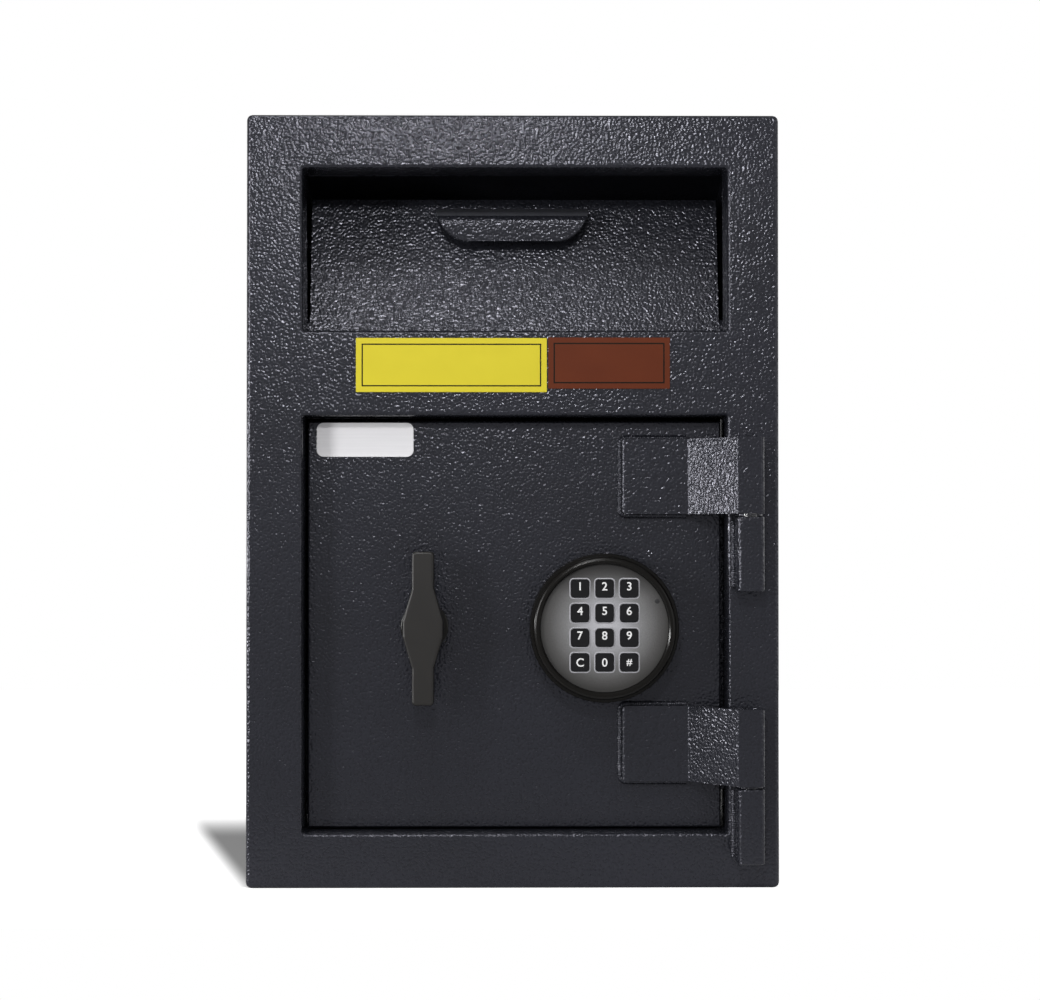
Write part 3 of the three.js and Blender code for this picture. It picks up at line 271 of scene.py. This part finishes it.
share = add_node(bead_tree, "ShaderNodeMath", {0: uneven.outputs[0], 1: 1.0}, operation="ADD")
ring = add_node(bead_tree, "GeometryNodeCurvePrimitiveCircle", {
    "Resolution": 10, "Radius": sizes["Bead Radius"]})
bead = add_node(bead_tree, "GeometryNodeCurveToMesh", {
    0: fine.outputs[0], 1: ring.outputs[0], 2: share.outputs[0], 3: True})
painted = add_node(bead_tree, "GeometryNodeSetShadeSmooth", {0: bead.outputs[0]})
solid = add_node(bead_tree, "GeometryNodeRealizeInstances", {0: painted.outputs[0]})
coated = add_node(bead_tree, "GeometryNodeSetMaterial", {0: solid.outputs[0], 2: powder_coat})
add_node(bead_tree, "NodeGroupOutput", {0: coated.outputs[0]})


def grow(name, tree, runs, body, **changes):
    mesh = bpy.data.meshes.new(name)
    points = [point for run in runs for point in run]
    edges, start = [], 0
    for run in runs:
        edges += [(start + i, start + i + 1) for i in range(len(run) - 1)]
        start += len(run)
    mesh.from_pydata(points, edges, [])
    guide = bpy.data.objects.new(name + "_guide", mesh)
    bpy.context.scene.collection.objects.link(guide)
    growth = guide.modifiers.new("growth", "NODES")
    growth.node_group = tree
    for item in tree.interface.items_tree:
        key = item.name.lower().replace(" ", "_")
        if key in changes:
            growth[item.identifier] = changes[key]
    grown = guide.evaluated_get(bpy.context.evaluated_depsgraph_get())
    made = bpy.data.meshes.new_from_object(grown)
    guide.modifiers.remove(growth)
    bpy.data.objects.remove(guide)
    made.name = name
    piece = bpy.data.objects.new(name, made)
    bpy.context.scene.collection.objects.link(piece)
    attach(piece, body)
    return piece


def round_corner(before, corner, after, radius, steps=6):
    into = (before - corner).normalized() * radius
    out = (after - corner).normalized() * radius
    centre = corner + into + out
    return [centre - math.cos(turn) * out - math.sin(turn) * into
            for turn in (math.pi / 2 * step / steps for step in range(steps + 1))]


low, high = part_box("back_plate")
stitch, inset, seam_y = 0.03, 0.0004, high.y + 0.0004
stitches = []
for x in (-0.12, -0.04, 0.04, 0.12):
    for z in (low.z + inset, high.z - inset):
        stitches.append([(x - stitch / 2, seam_y, z), (x + stitch / 2, seam_y, z)])
for z in (0.07, 0.16, 0.25, 0.34, 0.43):
    for x in (low.x + inset, high.x - inset):
        stitches.append([(x, seam_y, z - stitch / 2), (x, seam_y, z + stitch / 2)])
grow("back_welds", bead_tree, stitches, "body", bead_radius=0.0018)

toe, end_gap = 0.0005, 0.003
for place in ("upper", "lower"):
    low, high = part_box("hinge_knuckle_" + place)
    sides = [[(x, high.y - toe, low.z + end_gap), (x, high.y - toe, high.z - end_gap)]
             for x in (low.x - toe, high.x + toe)]
    grow("knuckle_welds_" + place, bead_tree, sides, "body", bead_radius=0.0024)

dress(powder_coat, "hinge_knuckle_upper", "hinge_knuckle_lower", broken=0.0014)
dress(powder_coat, "hinge_washer_upper", "hinge_washer_lower")


# The two signs on the bar between the openings. Each is thin printed aluminium, stuck on: one
# yellow and one red-brown, bare but for a dark line printed round it inside its edge.
def lay_sign(left, right, bottom, top, front, rear, line_inset, line_width,
             radius=0.0004, steps=2):
    edge, least_radius = 0.00015, 0.0001

    def outline(shape, inset, y):
        r = max(radius - inset, least_radius)
        in_by = inset + r
        corners = ((right - in_by, top - in_by, 0), (left + in_by, top - in_by, 1),
                   (left + in_by, bottom + in_by, 2), (right - in_by, bottom + in_by, 3))
        return [shape.verts.new((x + r * math.cos(turn), y, z + r * math.sin(turn)))
                for x, z, quarter in corners
                for turn in (math.pi / 2 * (quarter + step / steps) for step in range(steps + 1))]

    def build(shape):
        rings = [outline(shape, inset, y) for inset, y in (
            (0, rear), (0, front + edge), (edge, front), (line_inset, front),
            (line_inset + line_width, front))]
        printed_line = 3
        for step, (outer, inner) in enumerate(zip(rings, rings[1:])):
            for i in range(len(outer)):
                j = (i + 1) % len(outer)
                face = shape.faces.new((outer[i], outer[j], inner[j], inner[i]))
                face.material_index = 1 if step == printed_line else 0
        shape.faces.new(rings[-1])
        shape.faces.new(list(reversed(rings[0])))
        bmesh.ops.recalc_face_normals(shape, faces=shape.faces)
    return build


# A finish whose tone clouds from dark to light. Its relief is that of a finer grain, or that of
# the clouds where no grain is given, and along draws them out into lines.
def new_finish(name, dark, light, clouds, skin, relief=None, grain=None, along=None):
    material, tree = new_material(name)
    place = add_node(tree, "ShaderNodeTexCoord").outputs["Object"]
    if along:
        place = add_node(tree, "ShaderNodeMapping", {"Vector": place, "Scale": along}).outputs[0]
    patches = add_node(tree, "ShaderNodeTexNoise", {
        "Vector": place, "Scale": clouds[0], "Detail": clouds[1]})
    tint = add_node(tree, "ShaderNodeMix", {
        0: patches.outputs["Fac"], 6: linear(dark), 7: linear(light)}, data_type="RGBA")
    shader = add_node(tree, "ShaderNodeBsdfPrincipled", {"Base Color": tint.outputs[2], **skin})
    if relief:
        lumps = add_node(tree, "ShaderNodeTexNoise", {
            "Vector": place, "Scale": grain[0], "Detail": grain[1]}) if grain else patches
        bumps = add_node(tree, "ShaderNodeBump", {
            "Strength": relief[0], "Distance": relief[1], "Height": lumps.outputs["Fac"]})
        tree.links.new(bumps.outputs[0], shader.inputs["Normal"])
    add_node(tree, "ShaderNodeOutputMaterial", {"Surface": shader.outputs[0]})
    return material


# Printed colour under a dull lacquer: almost even, with hardly any shine.
sign_ink, yellow_print, brown_print = [
    new_finish(name, dark, light, (45, 3), {"Roughness": roughness, "Specular IOR Level": 0.12},
               relief=(0.15, 0.00005), grain=(1500, 1))
    for name, dark, light, roughness in (
        ("dark_screen_ink", "#100f0a", "#17150f", 0.4),
        ("yellow_printed_aluminium", "#d1c232", "#dccd38", 0.45),
        ("brown_printed_aluminium", "#5b2916", "#652f19", 0.45))]
face_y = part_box("front_frame")[0].y
sign_thickness, sign_line = 0.0005, 0.0009
signs = (("yellow_sign", yellow_print, -0.103, 0.0224, 0.3253, 0.3609, 0.0037),
         ("brown_sign", brown_print, 0.0233, 0.1033, 0.3276, 0.3613, 0.0035))
for name, print_material, left, right, bottom, top, line_inset in signs:
    shape = lay_sign(left, right, bottom, top, face_y - sign_thickness, face_y,
                     line_inset, sign_line)
    sign = new_piece(name, shape, [print_material, sign_ink], "body")


# The door. A thick steel leaf with two strap hinges bent from flat bar, welded on round their
# left end and edges, all under the body's paint.
dress(powder_coat, "door_plate", broken=0.0005)
dress(powder_coat, "hinge_strap_upper", "hinge_strap_lower", "dead_bar", "bolt_guide")
leaf_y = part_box("door_plate")[0].y
flat_length, strap_corner, toe = 0.043, 0.003, 0.0007
for place in ("upper", "lower"):
    low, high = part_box("hinge_strap_" + place)
    left, right = low.x - toe, low.x + flat_length
    y = leaf_y - toe
    ends = [Vector((x, y, z)) for x, z in (
        (right, low.z - toe), (left, low.z - toe), (left, high.z + toe), (right, high.z + toe))]
    bead = [ends[0], *round_corner(*ends[:3], strap_corner + toe),
            *round_corner(*ends[1:], strap_corner + toe), ends[3]]
    grow("strap_weld_" + place, bead_tree, [bead], "door", bead_radius=0.0023)


# The small plate on the door: thin aluminium with round corners, stuck on, bare. Its face is
# brushed across, which gives it faint level lines, and its rim is smoother and a little brighter.
badge_metal = new_finish("brushed_aluminium", "#ecebee", "#fbfafd", (900, 3), {"Roughness": 0.4},
                         relief=(0.25, 0.00008), along=(0.02, 1, 1))
badge_rim = new_finish("polished_aluminium_rim", "#f0f0f2", "#ffffff", (900, 3),
                       {"Roughness": 0.3}, relief=(0.25, 0.00008))
badge_thickness = 0.0007
shape = lay_sign(-0.1303, -0.0659, 0.2834, 0.3061, leaf_y - badge_thickness, leaf_y,
                 0.0009, 0.0004, radius=0.0045, steps=8)
badge = new_piece("door_badge", shape, [badge_metal, badge_rim], "door")


# Boltwork behind the leaf. The bolts, hinge pins and studs are turned and ground bright steel.
# Carriage, crank and nuts are zinc plated, which is greyer, with a faint mottle. The guide and
# the fixed bar are welded to the leaf, under its paint, each with three short beads.
def plated_material():
    material, tree = new_material("zinc_plated_steel")
    place = add_node(tree, "ShaderNodeTexCoord").outputs["Object"]
    mottle = add_node(tree, "ShaderNodeTexNoise", {
        "Vector": place, "Scale": 60, "Detail": 5, "Distortion": 1.2})
    tint = add_node(tree, "ShaderNodeValToRGB", {"Fac": mottle.outputs["Fac"]})
    for stop, position, colour in zip(
            tint.color_ramp.elements, (0.3, 0.7), ("#9ea3a8", "#c0c1ba")):
        stop.position, stop.color = position, linear(colour)
    haze = add_node(tree, "ShaderNodeMapRange", {
        "Value": mottle.outputs["Fac"], "To Min": 0.3, "To Max": 0.5})
    skin = add_node(tree, "ShaderNodeBsdfPrincipled", {
        "Base Color": tint.outputs["Color"], "Metallic": 1.0, "Roughness": haze.outputs[0]})
    add_node(tree, "ShaderNodeOutputMaterial", {"Surface": skin.outputs[0]})
    return material


# Turning and grinding leave fine rings round each bar, which draw its highlight out.
bright_steel = new_finish("ground_bright_steel", "#b3b1ae", "#d6d5d3", (1400, 2),
                          {"Metallic": 1.0, "Roughness": 0.26},
                          relief=(0.3, 0.00006), along=(1, 0.04, 0.04))
zinc_plate = plated_material()
dress(bright_steel, "hinge_pin_upper", "hinge_pin_lower", "locking_bolt_lower",
      "locking_bolt_middle", "locking_bolt_upper", "carriage_stud_upper", "carriage_stud_lower",
      "lock_latch", "handle_spindle")
dress(zinc_plate, "bolt_carriage", "bolt_nut_lower", "bolt_nut_middle",
      "bolt_nut_upper", "handle_crank", "crank_nut")

inner_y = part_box("door_plate")[1].y
guide_low, guide_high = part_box("bolt_guide")
bar_low, bar_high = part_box("dead_bar")
stitch, toe = 0.028, 0.0004
inner_runs = []
for low, high in ((guide_low, guide_high), (bar_low, bar_high)):
    for share in (0.12, 0.5, 0.88):
        middle = low.z + (high.z - low.z) * share
        inner_runs.append([(low.x - toe, inner_y + toe, middle + end * stitch / 2)
                           for end in (-1, 1)])
grow("inner_welds", bead_tree, inner_runs, "door", bead_radius=0.0016)


# The lock behind the leaf: a die-cast zinc case, grey with a fine cast grain, held on by four
# pan-head screws with crossed slots.
cast_zinc = new_finish("die_cast_zinc", "#7d8085", "#9da0a4", (30, 4),
                       {"Metallic": 0.85, "Roughness": 0.5},
                       relief=(0.5, 0.0001), grain=(1300, 2))
dress(cast_zinc, "lock_body")
screw_tree, sizes = new_tree("pan_head_screws", {
    "Head Radius": 0.0034, "Head Height": 0.0022, "Slot Width": 0.0009, "Slot Length": 0.0036,
    "Slot Depth": 0.0012})
dome = add_node(screw_tree, "GeometryNodeMeshUVSphere", {
    "Segments": 24, "Rings": 12, "Radius": 1.0})
squash = add_node(screw_tree, "ShaderNodeCombineXYZ", {
    0: sizes["Head Radius"], 1: sizes["Head Height"], 2: sizes["Head Radius"]})
head = add_node(screw_tree, "GeometryNodeTransform", {
    0: dome.outputs[0], "Scale": squash.outputs[0]})
deep = add_node(screw_tree, "ShaderNodeMath", {
    0: sizes["Slot Depth"], 1: 2.0}, operation="MULTIPLY")
lift = add_node(screw_tree, "ShaderNodeCombineXYZ", {1: sizes["Head Height"]})
slots = []
for first, second in (("Slot Width", "Slot Length"), ("Slot Length", "Slot Width")):
    shape = add_node(screw_tree, "ShaderNodeCombineXYZ", {
        0: sizes[first], 1: deep.outputs[0], 2: sizes[second]})
    block = add_node(screw_tree, "GeometryNodeMeshCube", {"Size": shape.outputs[0]})
    slots.append(add_node(screw_tree, "GeometryNodeTransform", {
        0: block.outputs[0], "Translation": lift.outputs[0]}))
cut = add_node(screw_tree, "GeometryNodeMeshBoolean", {
    "Mesh 1": head.outputs[0]}, operation="DIFFERENCE")
for slot in slots:
    screw_tree.links.new(slot.outputs[0], cut.inputs["Mesh 2"])
placed = add_node(screw_tree, "GeometryNodeInstanceOnPoints", {
    0: sizes["Geometry"], "Instance": cut.outputs["Mesh"]})
solid = add_node(screw_tree, "GeometryNodeRealizeInstances", {0: placed.outputs[0]})
coated = add_node(screw_tree, "GeometryNodeSetMaterial", {0: solid.outputs[0], 2: zinc_plate})
add_node(screw_tree, "NodeGroupOutput", {0: coated.outputs[0]})
low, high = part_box("lock_body")
inset, sunk = 0.0075, 0.0002
corners = [[(x, high.y - sunk, z)] for x in (low.x + inset, high.x - inset)
           for z in (low.z + inset, high.z - inset)]
screws = grow("lock_screws", screw_tree, corners, "door")


# The handle: a zinc casting in satin black enamel, brownish beside the paint, with a thin sheen
# on the edges that face the lamp.
enamel = new_finish("satin_black_enamel", "#161413", "#1e1c1a", (70, 4), {"Roughness": 0.42},
                    relief=(0.3, 0.0001), grain=(700, 1))
dress(enamel, "handle_blade")


# The keypad housing, a round base and a stepped bezel, and the collar round the handle's spindle:
# black moulded ABS, with the fine matt grain of a spark-eroded mould and a soft gleam round each
# step.
black_abs = new_finish("moulded_black_abs", "#0a0907", "#100e0c", (55, 3),
                       {"Roughness": 0.22, "Specular IOR Level": 0.25},
                       relief=(0.2, 0.00008), grain=(1800, 1))
dress(black_abs, "keypad_base", "keypad_bezel", "handle_collar")


# The keypad's face: a silver overlay whose colour is brightest in the middle and darkens to dark
# grey at its rim, with a fine sparkle. Its top is painted darker, a painted shadow of the bezel.
# The green board behind it carries the key switches.
def face_material():
    low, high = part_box("keypad_face")
    middle = (low + high) / 2
    glow_rise, reach = 0.002, 0.042
    material, tree = new_material("silver_printed_overlay")
    place = add_node(tree, "ShaderNodeTexCoord").outputs["Object"]
    centred = add_node(tree, "ShaderNodeMapping", {
        "Vector": place, "Location": (-middle.x, -middle.y, -glow_rise - middle.z)})
    out = add_node(tree, "ShaderNodeVectorMath", {0: centred.outputs[0]}, operation="LENGTH")
    share = add_node(tree, "ShaderNodeMapRange", {
        "Value": out.outputs["Value"], "From Max": reach})
    fade = add_node(tree, "ShaderNodeValToRGB", {"Fac": share.outputs[0]})
    fade.color_ramp.elements[0].color = linear("#c6c6cb")
    fade.color_ramp.elements[1].color = linear("#3a3938")
    for position, colour in ((0.3, "#aeaeb3"), (0.6, "#808081"), (0.85, "#555454")):
        fade.color_ramp.elements.new(position).color = linear(colour)
    sparkle = add_node(tree, "ShaderNodeTexNoise", {"Vector": place, "Scale": 1300, "Detail": 1})
    grain = add_node(tree, "ShaderNodeMapRange", {
        "Value": sparkle.outputs["Fac"], "To Min": 0.72, "To Max": 1.28})
    heights = add_node(tree, "ShaderNodeSeparateXYZ", {0: place}).outputs["Z"]
    # The face's top is painted darker towards the bezel: a painted shadow of the bezel.
    bezel_shadow = add_node(tree, "ShaderNodeMapRange", {
        "Value": heights, "From Min": middle.z + 0.022, "From Max": middle.z + 0.041,
        "To Min": 1.0, "To Max": 0.35})
    tone = fade.outputs["Color"]
    for factor in (grain, bezel_shadow):
        tone = add_node(tree, "ShaderNodeVectorMath", {
            0: tone, "Scale": factor.outputs[0]}, operation="SCALE").outputs[0]
    skin = add_node(tree, "ShaderNodeBsdfPrincipled", {
        "Base Color": tone, "Roughness": 0.4, "Metallic": 0.2})
    add_node(tree, "ShaderNodeOutputMaterial", {"Surface": skin.outputs[0]})
    return material


def board_material():
    material, tree = new_material("green_circuit_board")
    place = add_node(tree, "ShaderNodeTexCoord").outputs["Object"]
    turned = add_node(tree, "ShaderNodeMapping", {
        "Vector": place, "Rotation": (math.pi / 2, 0, 0)})
    tracks = add_node(tree, "ShaderNodeTexBrick", {
        "Vector": turned.outputs[0], "Color1": linear("#1f5a34"), "Color2": linear("#24633a"),
        "Mortar": linear("#3c8a55"), "Scale": 90.0, "Mortar Size": 0.04})
    skin = add_node(tree, "ShaderNodeBsdfPrincipled", {
        "Base Color": tracks.outputs["Color"], "Roughness": 0.35})
    add_node(tree, "ShaderNodeOutputMaterial", {"Surface": skin.outputs[0]})
    return material


dress(face_material(), "keypad_face")
dress(board_material(), "keypad_board")


# What is printed on the face: a light grey frame round each key, and the dark window of the
# signal lamp at the upper right. The ink stands a few hundredths of a millimetre proud.
def ink_material(name, dark, light):
    return new_finish(name, dark, light, (800, 2), {"Roughness": 0.45})


grey_ink = ink_material("pale_grey_ink", "#a5a5ab", "#b9b9be")
frame_tree, sizes = new_tree("key_frames", {
    "Frame Size": 0.013, "Line Width": 0.0009, "Corner Radius": 0.0023, "Ink Height": 0.00016})
square = add_node(frame_tree, "GeometryNodeCurvePrimitiveQuadrilateral", {
    "Width": sizes["Frame Size"], "Height": sizes["Frame Size"]})
rounded = add_node(frame_tree, "GeometryNodeFilletCurve", {
    0: square.outputs[0], "Count": 6, "Radius": sizes["Corner Radius"]}, mode="POLY")
stripe = add_node(frame_tree, "GeometryNodeCurvePrimitiveQuadrilateral", {
    "Width": sizes["Line Width"], "Height": sizes["Ink Height"]})
line = add_node(frame_tree, "GeometryNodeCurveToMesh", {
    0: rounded.outputs[0], 1: stripe.outputs[0]})
upright = add_node(frame_tree, "GeometryNodeTransform", {
    0: line.outputs[0], "Rotation": (math.pi / 2, 0, 0)})
placed = add_node(frame_tree, "GeometryNodeInstanceOnPoints", {
    0: sizes["Geometry"], "Instance": upright.outputs[0]})
solid = add_node(frame_tree, "GeometryNodeRealizeInstances", {0: placed.outputs[0]})
coated = add_node(frame_tree, "GeometryNodeSetMaterial", {0: solid.outputs[0], 2: grey_ink})
add_node(frame_tree, "NodeGroupOutput", {0: coated.outputs[0]})
key_marks = {"key_" + digit: digit for digit in "123456789"}
key_marks.update({"key_clear": "C", "key_0": "0", "key_hash": "#"})
face_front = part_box("keypad_face")[0].y
centres = {name: (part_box(name)[0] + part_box(name)[1]) / 2 for name in key_marks}
spots = [[(c.x, face_front, c.z)] for c in centres.values()]
frames = grow("key_frames", frame_tree, spots, "door")


def lay_disc(x, z, radius, front, rear, sides=24):
    crown_share, crown_rise = 0.6, 0.0001

    def build(shape):
        rings = [[shape.verts.new((x + r * math.cos(turn), y, z + r * math.sin(turn)))
                  for turn in (2 * math.pi * i / sides for i in range(sides))]
                 for r, y in ((radius, rear), (radius, front),
                              (radius * crown_share, front - crown_rise))]
        for outer, inner in zip(rings, rings[1:]):
            for i in range(sides):
                j = (i + 1) % sides
                shape.faces.new((outer[i], outer[j], inner[j], inner[i]))
        shape.faces.new(rings[-1])
        shape.faces.new(list(reversed(rings[0])))
        bmesh.ops.recalc_face_normals(shape, faces=shape.faces)
    return build


lens_x, lens_z, lens_radius, lens_rise = 0.0945, 0.1882, 0.0016, 0.0001
disc = lay_disc(lens_x, lens_z, lens_radius, face_front - lens_rise, face_front)
smoked_lens = ink_material("smoked_lens", "#1c1c1e", "#262628")
lamp_window = new_piece("lamp_window", disc, [smoked_lens], "door")


# The keys: twelve black moulded caps with a slight gloss, each with its character in white ink.
# The ink rides down with its key.
key_plastic = new_finish("moulded_key_plastic", "#0f0f11", "#161619", (130, 2),
                         {"Roughness": 0.3, "Specular IOR Level": 0.3},
                         relief=(0.12, 0.00006), grain=(1600, 1))
dress(key_plastic, *key_marks)
white_ink = ink_material("white_ink", "#e6e6e6", "#f4f4f4")
hash_height, mark_height, digit_rise = 0.0062, 0.0076, 0.0015
ink_swell, ink_height = 0.00012, 0.00002
for name, mark in key_marks.items():
    curve = bpy.data.curves.new(name + "_mark", "FONT")
    curve.body = mark
    curve.align_x = "CENTER"
    curve.align_y = "CENTER"
    curve.size = hash_height if mark == "#" else mark_height
    curve.bevel_depth = ink_swell
    curve.bevel_resolution = 0
    curve.extrude = ink_height
    letter = bpy.data.objects.new(name + "_mark", curve)
    bpy.context.scene.collection.objects.link(letter)
    drawn = letter.evaluated_get(bpy.context.evaluated_depsgraph_get())
    mesh = bpy.data.meshes.new_from_object(drawn)
    bpy.data.objects.remove(letter)
    lows = [min(v.co[i] for v in mesh.vertices) for i in (0, 1)]
    highs = [max(v.co[i] for v in mesh.vertices) for i in (0, 1)]
    rise = digit_rise if mark in "123456789" else 0
    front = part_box(name)[0].y
    mesh.transform(Matrix.Translation((centres[name].x, front, centres[name].z + rise))
                   @ Matrix.Rotation(math.pi / 2, 4, "X")
                   @ Matrix.Translation((-(lows[0] + highs[0]) / 2, -(lows[1] + highs[1]) / 2, 0)))
    mesh.materials.clear()
    mesh.materials.append(white_ink)
    printed = bpy.data.objects.new(name + "_mark", mesh)
    bpy.context.scene.collection.objects.link(printed)
    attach(printed, name)


# The deposit hopper: a sheet steel tray with two cheeks that hangs on two pins in the side
# plates, pins and all under the body's paint. Its pull is a strip of sheet that ramps out of the
# panel, rolls over a crest and ends in a round-cornered lip. Its upper slope is painted paler,
# a painted light where light from above would fall on it.
dress(powder_coat, "hopper_tray", "hopper_cheek_left", "hopper_cheek_right", "hopper_pin_left",
      "hopper_pin_right")


# Paint painted paler for the pull's upper slope: a painted light, where light from above would
# fall. Its lumps are lower and its skin rougher, so that it takes a soft even light in place of
# glints.
lit_slope_paint = new_finish("worn_powder_coat", "#393a3f", "#4b4c52", (120, 4), {"Roughness": 0.4},
                        relief=(0.3, 0.0002), grain=(600, 1))


# The pull is drawn upright, with the hopper's pivot at zero, and then leans with the panel. Its
# strip follows the line from root over crest to lip, and narrows in an ellipse to the lip.
def bend_pull(shape):
    lean, pivot = math.radians(12.5), Vector((0, -0.126, 0.37))
    root, crest, lip = [Vector((0, y, z)) for y, z in (
        (-0.005, 0.0848), (-0.0245, 0.0745), (-0.0193, 0.0576))]
    half_thick, half_root, crest_radius = 0.0015, 0.052, 0.0055
    corner, corner_rise, corner_top, drop_limit = 0.0225, 0.0254, 0.0828, 0.985
    root_steps, lip_steps, lit_rings, columns = 6, 9, 10, 16
    bend = round_corner(root, crest, lip, crest_radius, steps=8)
    line = [root.lerp(bend[0], i / root_steps) for i in range(root_steps)] + bend
    line += [bend[-1].lerp(lip, 1 - (1 - i / lip_steps) ** 2) for i in range(1, lip_steps + 1)]

    def half_width(rise):
        drop = min(max(corner_top - rise, 0) / corner_rise, drop_limit)
        return half_root - corner + corner * math.sqrt(1 - drop * drop)

    def placed(x, y, z):
        return pivot + Vector((x, y * math.cos(lean) + z * math.sin(lean),
                               z * math.cos(lean) - y * math.sin(lean)))

    rings = []
    for i, point in enumerate(line):
        along = (line[min(i + 1, len(line) - 1)] - line[max(i - 1, 0)]).normalized()
        normal = Vector((0, along.z, -along.y))
        ring = []
        for side in (1, -1):
            face = point + side * normal * half_thick
            half = half_width(face.z)
            row = [shape.verts.new(placed(half * (2 * k / columns - 1), face.y, face.z))
                   for k in range(columns + 1)]
            ring += row[::side]
        rings.append(ring)
    # The first rings, the upper slope and the top of the crest, take the paler paint: a painted
    # light.
    for step, (near, far) in enumerate(zip(rings, rings[1:])):
        for i in range(len(near)):
            j = (i + 1) % len(near)
            face = shape.faces.new((near[i], near[j], far[j], far[i]))
            face.material_index = 1 if step < lit_rings else 0
    shape.faces.new(rings[0])
    shape.faces.new(list(reversed(rings[-1])))
    bmesh.ops.recalc_face_normals(shape, faces=shape.faces)
    for face in shape.faces:
        face.smooth = True


pull = new_piece("bent_pull", bend_pull, [powder_coat, lit_slope_paint], "hopper")
rounded = pull.modifiers.new("broken_edges", "BEVEL")
rounded.width, rounded.segments, rounded.angle_limit = 0.0006, 2, math.radians(50)
rounded.harden_normals = True
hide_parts("hopper_pull")
